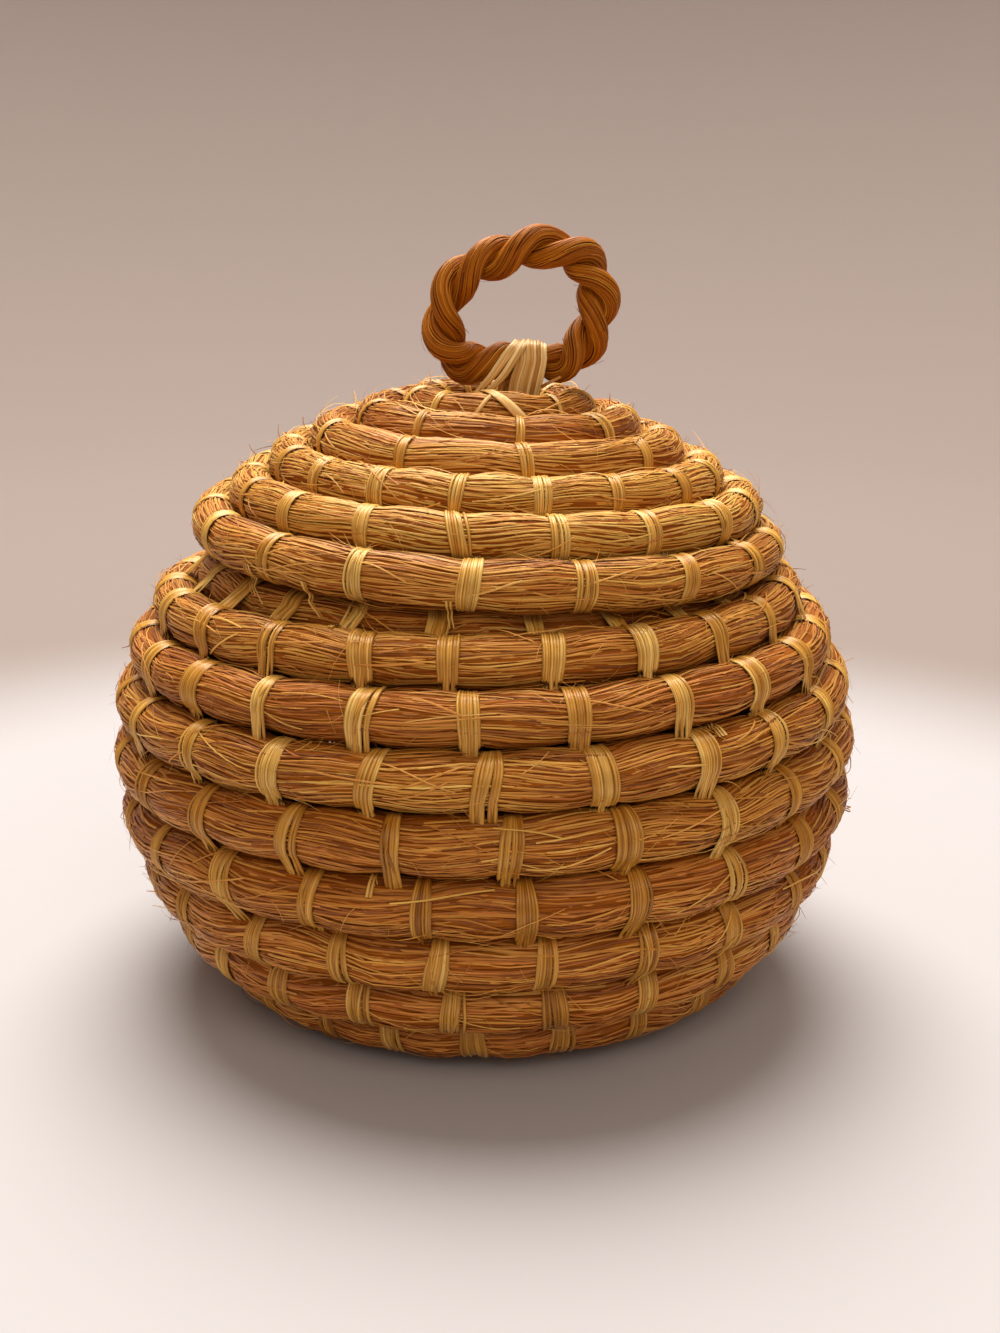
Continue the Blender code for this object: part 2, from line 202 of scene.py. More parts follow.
# Loose strand ends: turns from the front row's middle, way they lean, strands
LID_TAILS = (
    (4.872, 1.0, 3), (4.912, 1.0, 2), (4.985, 0.2, 2), (4.60, -0.6, 2), (4.25, 0.8, 3), (3.93, -0.5, 1),
)
BODY_TAILS = (
    (10.93, 0.6, 2), (9.10, -0.8, 3), (8.55, 0.7, 2), (6.96, 0.4, 2), (10.41, -0.5, 2), (7.35, 0.9, 2),
)
# Tufts of loose fibres: turns from the front row's middle, degrees around the bundle, fibres
LID_TUFTS = (
    (0.76, 40.0, 16), (1.74, 35.0, 16), (2.74, 30.0, 8), (3.22, 30.0, 6), (4.21, 25.0, 10),
    (4.02, -70.0, 8), (4.93, -60.0, 8), (5.04, -62.0, 8),
)
BODY_TUFTS = (
    (4.97, -60.0, 8), (4.03, -65.0, 8), (9.17, 0.0, 7), (8.86, -20.0, 6), (10.95, 60.0, 10),
    (10.05, 70.0, 8), (8.93, 60.0, 9), (11.03, 55.0, 8), (7.90, 65.0, 8), (6.08, 60.0, 8),
)

# The rope ring
PLY_RADIUS = 0.0025
PLY_OFFSET = 0.0023
PLY_CORE_DEPTH = 0.0002
PLY_TURNS = 5
PLY_TWIST = 2.0
PLY_PLUMP_SHARE = 0.08
PLY_FIBRES = 72
PLY_POINTS = 130
PLY_FIBRE_DEPTH = 0.0001
PLY_FIBRE_HEAP = 0.00005
PLY_FIBRE_RIDGE = 0.00015
PLY_FIBRE_OVERLAP_SHARE = 1.5
PLY_HAIRS = 70
HAIR_WIDTH = 0.00016
HAIR_RIDGE = 0.00005
HAIR_HEIGHTS = (0.0001, 0.0011)
# The lay of the plies in degrees, and where it runs ahead or behind: by how much, where, how far
PLY_LAY_START = 42.0
PLY_LAY_SHIFTS = ((38.0, 285.0, 40.0), (-32.0, 146.0, 17.0))
# The ring's middle line as photographed: to the right of the hinge and above it
RING_LINE = (
    (0.0005, -0.0001), (0.0060, -0.0001), (0.0105, -0.0006), (0.0138, 0.0016), (0.0162, 0.0058),
    (0.0179, 0.0115), (0.0175, 0.0164), (0.0157, 0.0202), (0.0121, 0.0234), (0.0065, 0.0247),
    (0.0010, 0.0242), (-0.0043, 0.0225), (-0.0090, 0.0208), (-0.0127, 0.0179), (-0.0151, 0.0142),
    (-0.0164, 0.0090), (-0.0154, 0.0034), (-0.0124, -0.0002), (-0.0080, -0.0006), (-0.0040, -0.0005),
)

# The binding and the knot
BINDING_STRANDS = 9
BINDING_SIDE = 0.0034
BINDING_HALF_WIDTH = 0.0029
BINDING_REACH = 0.0040
BINDING_REACH_WANDER = 0.0004
BINDING_EDGE_DROP = 0.0006
BINDING_STRAND_WIDTH = 0.00095
BINDING_SQUEEZE = 0.34
BINDING_SQUEEZE_REACH = 0.0052
BINDING_SQUEEZE_HEIGHT = 0.004
# Each leg's foot and top: share of the strand's place across, shift and height from the hinge
LEG_POINTS = ((0.9, 0.0020, -0.0110), (1.1, 0.0012, -0.0050))
LEG_FOOT_REACH = 0.0028
# Middle lines of the slanting bundle and of a loose end, from the hinge
SLANTING_LINE = (
    (-0.0092, -0.0064, -0.0085), (-0.0074, -0.0066, -0.0062), (-0.0040, -0.0062, -0.0026),
    (-0.0012, -0.0050, 0.0014), (0.0006, -0.0024, 0.0036), (0.0010, 0.0010, 0.0040),
    (0.0000, 0.0040, 0.0016), (-0.0020, 0.0048, -0.0040), (-0.0036, 0.0034, -0.0100),
)
LOOSE_END_LINE = ((0.0056, -0.0048, -0.0052), (0.0074, -0.0062, -0.0040), (0.0098, -0.0066, -0.0028))
# Strands side by side: count, spacing, spreads along the line as shares, width, points
SLANTING_BUNDLE = (5, 0.00064, (0.9, 1.15, 1.0, 0.7, 0.6), 0.00085, 30)
LOOSE_END_BUNDLE = (2, 0.0004, (1.0, 0.3), 0.0005, 10)
BUNDLE_DROP = 0.001
BUNDLE_HEAP = 0.0003
# Two stitches that cross on the crown's first row: slant, strands, shift along the row, lift
CROSSING_STITCHES = ((0.0052, 3, -0.0004, 0.00060), (-0.0034, 1, -0.0010, 0.00030))
CROSSING_INDEX = 16.9
CROSSING_CLEARANCE = 1.3
CROSSING_SPACING = 0.00070
CROSSING_WIDTH = 0.00082
CROSSING_ANGLE = 105.0
KNOT_STRANDS = 14
KNOT_STRAND_WIDTH = 0.0011
KNOT_CORE_DEPTH, KNOT_END_DEPTH = 0.0005, 0.0004
KNOT_HEAP = 0.0003
KNOT_WAYS = ((1.0, 0.25, 0.15), (-0.5, 0.8, 0.2), (0.1, -0.6, 0.9))

# The meshes' maps
STREAKS_PER_METRE = 60
CORE_STREAKS = 90
STREAK_SHIFT = 40.0
BAKE_CELL_STRETCH = 30
BAKE_MARGIN_SHARES = (0.02, 0.12)

# The camera, as fitted to the photograph
IMAGE_HEIGHT = 1333
FOCAL_PIXELS = 1750.0
CAMERA_PLACE = (0.00345, -0.394, 0.180)
CAMERA_PITCH = 15.3
CAMERA_ROLL = 0.85
SENSOR_HEIGHT = 36.0
NEAREST_SEEN = 0.01

# The stage
FLOOR_RADIUS = 0.85
FLOOR_RING_SHARES = (0.25, 0.6)
STAGE_CURVE = 0.45
STAGE_HEIGHT = 1.30
STAGE_SIDES = 96
STAGE_ARC_STEPS = 14
BACKDROP_RADII = (0.20, 0.35)
# Each light: name, place, target, size, watts, colour
LIGHTS = (
    ("key", (-0.14, 0.80, 2.05), (0.0, -0.02, 0.05), 1.80, 92.0, (1.0, 0.94, 0.87)),
    ("front", (0.20, -1.00, 0.95), (0.0, 0.0, 0.08), 0.80, 4.4, (1.0, 0.89, 0.77)),
)
STUDIO_COLOUR = (0.62, 0.51, 0.44, 1.0)
STUDIO_STRENGTH = 0.44

# How light or red the fibres and strands are where each row passes the front, from the middle out
BODY_RED_SHARES = (0.5, 0.5, 0.6, 0.7, 0.75, 0.70, 0.60, 0.50, 0.40, 0.25, 0.68, 0.20, 0.60)
LID_RED_SHARES = (0.20, 0.25, 0.30, 0.12, 0.05, 0.35)
BODY_TONES = (-0.05, -0.05, -0.05, -0.05, -0.05, -0.08, -0.10, -0.12, -0.14, -0.05, -0.08, -0.05, 0.00)
# The lid's rows are set lighter, most of all the fourth and fifth, partly as painted light where the lamp
# falls on them
LID_TONES_WITH_PAINTED_LIGHT = (-0.12, -0.18, 0.12, 0.26, 0.26, 0.06)
BODY_STITCH_TONES = (0.44, 0.44, 0.44, 0.44, 0.42, 0.42, 0.42, 0.44, 0.50, 0.68, 0.62, 0.64, 0.68)
LID_STITCH_TONES = (0.62, 0.62, 0.62, 0.66, 0.68, 0.66)
TONE_SPREAD = (2.6, 2.3)
DARK_FIBRES_SHARE = 0.08
DARK_FIBRE_TONE = 0.25
TONE_LENGTHS = (0.045, 0.12)
RED_LENGTHS = (0.07, 0.19)
ROPE_TONE_LENGTHS = (1.1, 0.63)
RAFFIA_TONE = 0.72
# How light strands are at their edges, as painted shade in the grooves between strands, and how much
# painted shade fibres get towards the creases
EDGE_PAINTED_SHADE = 0.70
STITCH_EDGE_PAINTED_SHADE = 0.46
CREASE_PAINTED_SHADE = 0.32

rng = np.random.default_rng(7)
bpy.context.scene.view_settings.view_transform = "Standard"


def make_camera():
    data = bpy.data.cameras.new("camera")
    data.sensor_fit = "VERTICAL"
    data.sensor_height = SENSOR_HEIGHT
    data.lens = FOCAL_PIXELS / IMAGE_HEIGHT * SENSOR_HEIGHT
    data.clip_start = NEAREST_SEEN
    camera = bpy.data.objects.new("camera", data)
    bpy.context.scene.collection.objects.link(camera)
    tilt = Matrix.Rotation(math.radians(90.0 - CAMERA_PITCH), 4, "X")
    roll = Matrix.Rotation(math.radians(CAMERA_ROLL), 4, "Z")
    camera.matrix_world = Matrix.Translation(CAMERA_PLACE) @ tilt @ roll
    bpy.context.scene.camera = camera


make_camera()


def linear(colour):
    """A colour in the 0 to 255 of a picture, as light."""
    share = np.array(colour, float) / 255.0
    return np.where(share <= 0.04045, share / 12.92, ((share + 0.055) / 1.055) ** 2.4)


def unit(vectors):
    """The same directions, one long."""
    return vectors / np.linalg.norm(vectors, axis=-1)[..., None]


def spun(radius, angle, height):
    """Points at a radius, an angle about Z and a height."""
    return np.stack([radius * np.cos(angle), radius * np.sin(angle), height], -1)


def centred(count):
    """Numbers one apart, with their middle at 0."""
    return np.arange(count) - (count - 1) / 2


def lengths_along(points):
    """The length from the start of a line to each of its points."""
    return np.concatenate([[0.0], np.cumsum(np.linalg.norm(np.diff(points, axis=0), axis=1))])


def curve_through(points):
    """Many fine points of a smooth curve through a few, and the length from the start to each."""
    points = np.array(points, float)
    ends = np.vstack([2 * points[0] - points[1], points, 2 * points[-1] - points[-2]])
    fine = []
    for before, start, stop, after in zip(ends[:-3], ends[1:-2], ends[2:-1], ends[3:]):
        for share in np.linspace(0.0, 1.0, SAMPLES_PER_SPAN, endpoint=False):
            cubic = 2 * start + (stop - before) * share
            cubic = cubic + (2 * before - 5 * start + 4 * stop - after) * share**2
            cubic = cubic + (3 * start - before - 3 * stop + after) * share**3
            fine.append(cubic / 2)
    fine = np.vstack([fine, points[-1]])
    return fine, lengths_along(fine)


def smooth_line(points, count):
    """Evenly spaced points on a smooth line through a few points in space."""
    fine, run = curve_through(points)
    even = np.linspace(0.0, run[-1], count)
    return np.column_stack([np.interp(even, run, fine[:, axis]) for axis in range(3)])


class Profile:
    """A smooth curve in the (radius, height) half plane, read by its length from the start."""

    def __init__(self, points):
        self.fine, self.lengths = curve_through(points)
        self.whole = self.lengths[-1]
        self.last_run = unit(self.fine[-1] - self.fine[-2])

    def at(self, length):
        """Points at these lengths. The curve runs straight on past its end."""
        length = np.asarray(length, float)
        inside = np.minimum(length, self.whole)
        columns = [np.interp(inside, self.lengths, self.fine[:, axis]) for axis in (0, 1)]
        return np.stack(columns, axis=-1) + np.maximum(length - self.whole, 0.0)[..., None] * self.last_run


class Winding:
    """A bundle wound along a profile, read by the length along the bundle from its start."""

    def __init__(self, profile, start_radius, start_angle, start_diameter, diameter_at, taper_turns, lift):
        self.profile = profile
        self.start = (start_radius, start_diameter)
        self.front_share = (270.0 - start_angle) / 360.0
        self.diameter_at = diameter_at
        whole = self.wind(None, 0)
        lengths, diameters = self.wind(len(whole[0]), round(taper_turns * POINTS_PER_TURN))
        marks = np.arange(len(lengths))
        self.index = np.linspace(0, marks[-1], marks[-1] * FINE_STEPS + 1)
        reach = np.interp(self.index, marks, lengths)
        middle = profile.at(reach)
        behind = np.maximum(reach - TANGENT_REACH, 0.0)
        along = unit(profile.at(reach + TANGENT_REACH) - profile.at(behind))
        side = 1.0 if profile.fine[-1][1] > 0 else -1.0
        out = np.column_stack([along[:, 1], -along[:, 0]]) * side
        angle = math.radians(start_angle) + 2 * math.pi * self.index / POINTS_PER_TURN
        size = np.interp(self.index, marks, diameters)
        self.run = lengths_along(spun(middle[:, 0], angle, middle[:, 1]))
        self.length = self.run[-1]
        self.columns = np.column_stack([middle[:, 0], middle[:, 1] + lift, along, out, angle, size])
        self.pinches = np.zeros(0)

    def wind(self, count, taper):
        """Lengths along the profile and diameters, for a number of steps or up to the profile's end."""
        start_radius, start_diameter = self.start
        lengths, diameters = [], []
        while len(lengths) != count and (count or not lengths or lengths[-1] < self.profile.whole):
            done = len(lengths)
            thinned = 1.0
            if count and done >= count - taper:
                thinned = 1.0 - (1.0 - END_DIAMETER_SHARE) * (done - count + taper + 1) / taper
            if done < POINTS_PER_TURN:
                grown = done / POINTS_PER_TURN
                first = self.diameter_at(0.0)
                diameter = start_diameter + (first - start_diameter) * grown
                length = start_radius + ((first + start_diameter) / 2 + ROW_GAP) * grown
            else:
                below = done - POINTS_PER_TURN
                diameter = self.diameter_at(lengths[-1]) * thinned
                length = self.next_length(lengths[below], (diameter + diameters[below]) / 2 + ROW_GAP)
            lengths.append(length)
            diameters.append(diameter)
        return lengths, diameters

    def next_length(self, below, apart):
        """The length at which the profile is as far as this from where it is at another length."""
        length = below + apart
        for _ in range(SETTLING_ROUNDS):
            length += apart - np.linalg.norm(self.profile.at(length) - self.profile.at(below))
        return length

    def run_at(self, index):
        return np.interp(index, self.index, self.run)

    def front_run(self, turns):
        """The run at a number of turns from where the first row passes the front."""
        return float(self.run_at((turns + self.front_share) * POINTS_PER_TURN))

    def read(self, run):
        """Radius, height, the profile's way (r, z), the outward way (r, z), angle and diameter."""
        flat = np.ravel(run)
        return [np.interp(flat, self.run, column).reshape(np.shape(run)) for column in self.columns.T]

    def bundle_radius(self, run):
        """Half the thickness: rows press on each other, and each stitch draws the bundle in."""
        size = self.read(run)[7]
        tip = np.clip(1.0 - np.minimum(run, self.length - run) / TIP_LENGTH, 0.0, 0.99)
        drawn = 1.0 - PINCH_SHARE * self.pinched(run, PINCH_LENGTH)
        return (size + ROW_GAP) / 2 * drawn * np.sqrt(1.0 - tip**2)

    def pinched(self, run, reach):
        """1 under a stitch, falling to 0 away from it."""
        slot = np.clip(np.searchsorted(self.pinches, run), 1, len(self.pinches) - 1)
        near = np.minimum(np.abs(run - self.pinches[slot - 1]), np.abs(run - self.pinches[slot]))
        return np.exp(-((near / reach) ** 2))

    def place(self, run, turn, lift):
        """Points and outward normals at a turn around the bundle, where 0 faces out, and a lift."""
        radius, height, along_r, along_z, out_r, out_z, angle, _ = self.read(run)
        away_r = out_r * np.cos(turn) + along_r * np.sin(turn)
        away_z = out_z * np.cos(turn) + along_z * np.sin(turn)
        reach = self.bundle_radius(run) + lift
        from_axis = radius + reach * away_r
        return spun(from_axis, angle, height + reach * away_z), spun(away_r, angle, away_z)


def settle(points):
    """Presses what would reach through the floor flat on it, in the same order."""
    low = points[..., 2] < FLOOR_PRESS
    pressed = FLOOR_PRESS * np.exp((points[..., 2] - FLOOR_PRESS) / FLOOR_PRESS)
    points[..., 2] = np.where(low, pressed, points[..., 2])
    return points


def mesh_object(name, points, faces, colours, strand_map, bake_map, look):
    """One mesh of four-sided faces with a colour at each point."""
    mesh = bpy.data.meshes.new(name)
    mesh.vertices.add(len(points))
    mesh.vertices.foreach_set("co", points.astype(np.float32).ravel())
    mesh.loops.add(faces.size)
    mesh.loops.foreach_set("vertex_index", faces.astype(np.int32).ravel())
    mesh.polygons.add(len(faces))
    mesh.polygons.foreach_set("loop_start", np.arange(0, faces.size, 4, dtype=np.int32))
    mesh.update(calc_edges=True)
    mesh.shade_smooth()
    layer = mesh.color_attributes.new("strand_colour", "FLOAT_COLOR", "POINT")
    four = np.ones((len(points), 4), np.float32)
    four[:, :3] = colours
    layer.data.foreach_set("color", four.ravel())
    for map_name, places in (("strand", strand_map), ("OFBake", bake_map)):
        if places is not None:
            made = mesh.uv_layers.new(name=map_name)
            made.uv.foreach_set("vector", places[faces.ravel()].astype(np.float32).ravel())
    mesh.materials.append(look)
    item = bpy.data.objects.new(name, mesh)
    bpy.context.scene.collection.objects.link(item)
    return item


def strands(name, groups, look, edge_painted_shade=EDGE_PAINTED_SHADE):
    """Thin strands with a rounded back. Each group is (points, normals, width, ridge, colour)."""
    all_points, all_faces, all_colours, all_places, bake_places = [], [], [], [], []
    count = sum(len(group[0]) for group in groups)
    columns = max(1, round(math.sqrt(count / BAKE_CELL_STRETCH)))
    rows = math.ceil(count / columns)
    long_margin, side_margin = BAKE_MARGIN_SHARES
    done, first = 0, 0
    for points, normals, width, ridge, colour in groups:
        number, steps = points.shape[:2]
        side = np.cross(np.gradient(points, axis=1), normals)
        side /= np.maximum(np.linalg.norm(side, axis=2), 1e-9)[..., None]
        half = (np.broadcast_to(width, (number, steps)) / 2)[..., None]
        rise = np.broadcast_to(ridge, (number, steps))[..., None]
        corners = np.stack([points - side * half, points + normals * rise, points + side * half], axis=2)
        all_points.append(settle(corners.reshape(-1, 3)))
        start = (np.arange(number)[:, None] * steps + np.arange(steps - 1)[None, :]) * 3 + first
        start = start.ravel()
        for edge in (0, 1):
            low, high = start + edge, start + edge + 1
            all_faces.append(np.column_stack([low, high, high + 3, low + 3]))
        # Painted shade: each strand is darker at its two edges, as the shade in the grooves between strands
        painted_groove_shade = np.array([edge_painted_shade, 1.0, edge_painted_shade])[None, :, None]
        all_colours.append((colour.reshape(-1, 1, 3) * painted_groove_shade).reshape(-1, 3))
        long = np.linspace(0.0, 1.0, steps)[None, :, None]
        across = np.array([0.0, 0.5, 1.0])[None, None, :]
        real = np.linalg.norm(np.diff(points, axis=1), axis=2).sum(1)[:, None, None]
        shift = rng.uniform(0.0, STREAK_SHIFT, (number, 1, 1))
        strand_uv = np.broadcast_arrays(long * real * STREAKS_PER_METRE + shift, across + shift * 3)
        all_places.append(np.stack(strand_uv, -1).reshape(-1, 2))
        cell = done + np.arange(number)[:, None, None]
        bake_u = (cell % columns + long_margin + (1 - 2 * long_margin) * long) / columns
        bake_v = (cell // columns + side_margin + (1 - 2 * side_margin) * across) / rows
        bake_places.append(np.stack(np.broadcast_arrays(bake_u, bake_v), -1).reshape(-1, 2))
        done += number
        first += number * steps * 3
    made = [np.vstack(part) for part in (all_points, all_faces, all_colours, all_places, bake_places)]
    return mesh_object(name, *made, look)


def tube(name, points, normals, radii, colour, look, sides=14):
    """A closed tube along points, with one normal to measure its sides from. Its map runs along it."""
    tangent = unit(np.gradient(points, axis=0))
    side = unit(np.cross(tangent, normals))
    up = np.cross(side, tangent)
    turns = 2 * math.pi * np.arange(sides) / sides
    ring = up[:, None] * np.cos(turns)[None, :, None] - side[:, None] * np.sin(turns)[None, :, None]
    corners = settle(points[:, None] + ring * radii[:, None, None]).reshape(-1, 3)
    row, column = np.meshgrid(np.arange(len(points) - 1), np.arange(sides), indexing="ij")
    after = (column + 1) % sides
    faces = np.stack([row * sides + column, row * sides + after, (row + 1) * sides + after,
                      (row + 1) * sides + column], -1).reshape(-1, 4)
    ends = []
    for base, order in ((0, -1), ((len(points) - 1) * sides, 1)):
        loop = (base + np.arange(sides))[::order]
        for step in range(1, sides - 2, 2):
            ends.append([loop[0], loop[step], loop[step + 1], loop[step + 2]])
    faces = np.vstack([faces, np.array(ends)])
    colours = np.broadcast_to(colour, (len(corners), 3))
    run = lengths_along(points)
    # Each half of the tube mirrors the other in the map, so it has no seam.
    around = np.abs(np.arange(sides) - sides / 2) * CORE_STREAKS / sides
    places = np.broadcast_arrays(run[:, None] * STREAKS_PER_METRE, around[None, :])
    return mesh_object(name, corners, faces, colours, np.stack(places, -1).reshape(-1, 2), None, look)


def dress(piece, body, node):
    """The piece rides on a body of the part and stands for one of its nodes."""
    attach(piece, body)
    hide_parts(node)


def set_inputs(node, values):
    for socket, value in values.items():
        node.inputs[socket].default_value = value


def shader_of(name, roughness, specular):
    look = bpy.data.materials.new(name)
    look.use_nodes = True
    nodes, links = look.node_tree.nodes, look.node_tree.links
    shader = nodes["Principled BSDF"]
    set_inputs(shader, {"Roughness": roughness, "Specular IOR Level": specular})
    return look, nodes, links, shader


def mix_node(nodes, blend):
    mix = nodes.new("ShaderNodeMix")
    mix.data_type = "RGBA"
    mix.blend_type = blend
    return mix


def strand_material(name, roughness, specular, streak_scale, streak_dark, bump):
    """Dry plant fibre: the strand's own colour, with fine lengthwise streaks in colour and height."""
    look, nodes, links, shader = shader_of(name, roughness, specular)
    set_inputs(shader, {"Specular Tint": WARM_SHINE})
    colour = nodes.new("ShaderNodeAttribute")
    colour.attribute_name = "strand_colour"
    place = nodes.new("ShaderNodeUVMap")
    place.uv_map = "strand"
    stretch = nodes.new("ShaderNodeMapping")
    set_inputs(stretch, {"Scale": (STREAK_LENGTH_SCALE, streak_scale, 1.0)})
    links.new(place.outputs["UV"], stretch.inputs["Vector"])
    streaks = nodes.new("ShaderNodeTexNoise")
    set_inputs(streaks, {"Scale": 1.0, "Detail": STREAK_DETAIL})
    links.new(stretch.outputs["Vector"], streaks.inputs["Vector"])
    ramp = nodes.new("ShaderNodeValToRGB")
    ends = zip(ramp.color_ramp.elements, STREAK_PLACES, ((*streak_dark, 1.0), STREAK_LIGHT))
    for element, position, shade_there in ends:
        element.position = position
        element.color = shade_there
    links.new(streaks.outputs["Fac"], ramp.inputs["Fac"])
    mix = mix_node(nodes, "MULTIPLY")
    set_inputs(mix, {"Factor": 1.0})
    links.new(colour.outputs["Color"], mix.inputs["A"])
    links.new(ramp.outputs["Color"], mix.inputs["B"])
    links.new(mix.outputs["Result"], shader.inputs["Base Color"])
    height = nodes.new("ShaderNodeBump")
    set_inputs(height, {"Strength": bump, "Distance": STREAK_DEPTH})
    links.new(streaks.outputs["Fac"], height.inputs["Height"])
    links.new(height.outputs["Normal"], shader.inputs["Normal"])
    return look


# What all the strand materials share
WARM_SHINE = (1.0, 0.80, 0.55, 1.0)
STREAK_LENGTH_SCALE = 0.9
STREAK_DETAIL = 3.0
STREAK_PLACES = (0.32, 0.62)
STREAK_LIGHT = (1.18, 1.17, 1.12, 1.0)
STREAK_DEPTH = 0.0002

# Each material: roughness, specular level, streaks across, colour of the dark streaks, bump
GRASS = strand_material("grass_fibre", 0.42, 0.66, 4.0, (0.68, 0.54, 0.32), 0.7)
STRAND = strand_material("sewing_strand", 0.36, 0.62, 3.0, (0.68, 0.55, 0.34), 0.6)
ROPE = strand_material("rope_fibre", 0.46, 0.32, 4.0, (0.66, 0.52, 0.34), 0.8)
# The cores' darker streaks add to their painted shade for the gaps between fibres
CORE = strand_material("bundle_core", 0.70, 0.20, 1.3, (0.40, 0.28, 0.17), 1.0)

# Colours of the fibres, dark to light
GRASS_SHADES = linear(((148, 78, 6), (212, 144, 48), (241, 180, 76), (253, 212, 110)))
RED_SHADES = linear(((134, 62, 6), (198, 112, 38), (229, 147, 64), (247, 184, 94)))
STRAND_SHADES = linear(((140, 80, 8), (200, 140, 50), (228, 174, 80), (248, 210, 122)))
RAFFIA_SHADES = linear(((166, 108, 48), (210, 156, 84), (238, 192, 118), (253, 222, 156)))
ROPE_SHADES = linear(((120, 54, 0), (176, 94, 4), (212, 132, 20), (248, 186, 70)))
# The cores are coloured darker than the fibres over them: painted shade for the gaps between fibres
PAINTED_SHADE_CORE_COLOUR = linear((156, 88, 20))
PAINTED_SHADE_ROPE_CORE_COLOUR = linear((100, 48, 6))
FLOOR_SHADE = linear((184, 183, 186))
BACKDROP_COLOUR_AND_PAINTED_FALLOFF = linear((144, 133, 128))


def shade(shades, share):
    """A colour for each share between 0, the darkest, and 1, the lightest."""
    places = np.linspace(0.0, 1.0, len(shades))
    share = np.clip(share, 0.0, 1.0)
    return np.stack([np.interp(share, places, shades[:, channel]) for channel in range(3)], -1)


def grass_colour(tone, warm):
    """Between the golden and the reddish grass."""
    return shade(GRASS_SHADES, tone) * (1 - warm) + shade(RED_SHADES, tone) * warm


def by_row(turns, values):
    """A value for each row that passes the front, and between them in between."""
    return np.interp(turns, np.arange(len(values)), values)


def waves(run, lengths, size):
    """A smooth wander along the bundle, of a few wavelengths."""
    total = np.zeros(np.shape(run))
    for wavelength in lengths:
        total += np.sin(2 * math.pi * run / wavelength + rng.uniform(0.0, 2 * math.pi))
    return total * size / math.sqrt(len(lengths))


def make_body_winding():
    lift = BASE_COIL_DIAMETER * (0.5 - STANDING_FLAT_SHARE)
    profile = Profile(np.array(BODY_PROFILE_SHARES) * (BELLY_RADIUS, WALL_HEIGHT))
    places = np.array(COIL_DIAMETER_PLACE_SHARES) * profile.whole
    sizes = (BASE_COIL_DIAMETER, BELLY_COIL_DIAMETER, RIM_COIL_DIAMETER)
    return Winding(profile, BODY_START_RADIUS, BODY_START_ANGLE, BODY_START_DIAMETER,
                   lambda length: float(np.interp(length, places, sizes)), BODY_TAPER_TURNS, lift)


def make_lid_winding():
    """The lid's coil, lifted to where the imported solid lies."""
    profile = Profile(np.array(LID_PROFILE_SHARES) * (LID_RADIUS, -LID_DROP))
    winding = Winding(profile, LID_START_RADIUS, LID_START_ANGLE, LID_START_DIAMETER,
                      lambda length: LID_COIL_DIAMETER, LID_TAPER_TURNS, 0.0)
    low = (winding.columns[:, 1] - winding.columns[:, 7] / 2).min()
    winding.columns[:, 1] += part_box("lid_coil")[0].z - low
    return winding


def stitch_places(winding, lines, lean, rim_radius, start_share, sense, allowed):
    """The run along the bundle of each stitch, line by line."""
    row_step = POINTS_PER_TURN * (1 + sense * lean / (2 * math.pi * rim_radius))
    last = winding.index[-1]
    found = []
    for line in range(lines):
        index = row_step * (line + start_share) / lines
        runs = []
        while index < last - 1:
            run = float(winding.run_at(index))
            if allowed(line, float(winding.read(run)[0]), index):
                runs.append(run + rng.normal(0.0, STITCH_WANDER))
            index += row_step
        found.append(runs)
    return found


def bundle_core(name, winding):
    """The middle of the bundle, coloured darker than the fibres as painted shade in the gaps between them.
    """
    run = np.append(np.arange(0.0, winding.length, CORE_STEP), winding.length)
    radius, height, _, _, out_r, out_z, angle, _ = winding.read(run)
    points, normals = spun(radius, angle, height), spun(out_r, angle, out_z)
    return tube(name, points, normals, winding.bundle_radius(run) - CORE_DEPTH, PAINTED_SHADE_CORE_COLOUR, CORE)


def fibre_places(start, stop):
    """Fibres lane by lane around the bundle: where each begins, its length and turn, and its clump."""
    step = sum(FIBRE_LENGTHS) / 2 * FIBRE_STEP_SHARE
    number = int((stop - start) / step * SPARE_FIBRES_SHARE) + 2
    lengths = rng.uniform(*FIBRE_LENGTHS, (LANES, number))
    begin = start + np.cumsum(lengths, axis=1) * FIBRE_STEP_SHARE
    begin -= lengths * FIBRE_STEP_SHARE + rng.uniform(0, step, (LANES, 1))
    wander = rng.normal(0.0, LANE_WANDER_SHARE / LANES, (LANES, number))
    share = (np.arange(LANES) / LANES)[:, None] + wander
    turn = 2 * math.pi * share - LANE_CROWDING_SHARE * np.sin(2 * math.pi * share)
    clumps = rng.normal(0.0, 1.0, (LANES // CLUMP_LANES + 1, int((stop - start) / CLUMP_LENGTH) + 4, 3))
    lane = np.broadcast_to(np.arange(LANES)[:, None], begin.shape) + rng.integers(-1, 2, begin.shape)
    clump = np.clip(lane // CLUMP_LANES, 0, len(clumps) - 1)
    slot = np.clip(((begin - start) / CLUMP_LENGTH + 1).astype(int), 0, clumps.shape[1] - 1)
    keep = (begin < stop) & (begin + lengths > start)
    return begin[keep], lengths[keep], turn[keep], clumps[clump, slot][keep]


def fibre_colours(turns, run, angle, clump, redness, tones):
    """Lightness and redness go by row, clump and fibre, with painted light on the lid's rows. Fibres get
    painted shade towards the creases.
    """
    count = len(turns)
    tone = by_row(turns, tones) + rng.beta(*TONE_SPREAD, count)
    tone = tone - DARK_FIBRE_TONE * (rng.random(count) < DARK_FIBRES_SHARE) + clump[:, 1] * 0.06
    tone = tone[:, None] + rng.normal(0, 0.03, run.shape) + waves(run, TONE_LENGTHS, 0.06)
    warm = by_row(turns, redness) + rng.normal(0.0, 0.20, count) + clump[:, 0] * 0.10
    warm = np.clip(warm[:, None] + waves(run, RED_LENGTHS, 0.14), 0, 1)[..., None]
    # Painted shade: fibres darken as they turn from the outer side towards the creases between rows
    return grass_colour(tone, warm) * (1.0 - CREASE_PAINTED_SHADE * (1.0 - np.cos(angle)))[..., None]


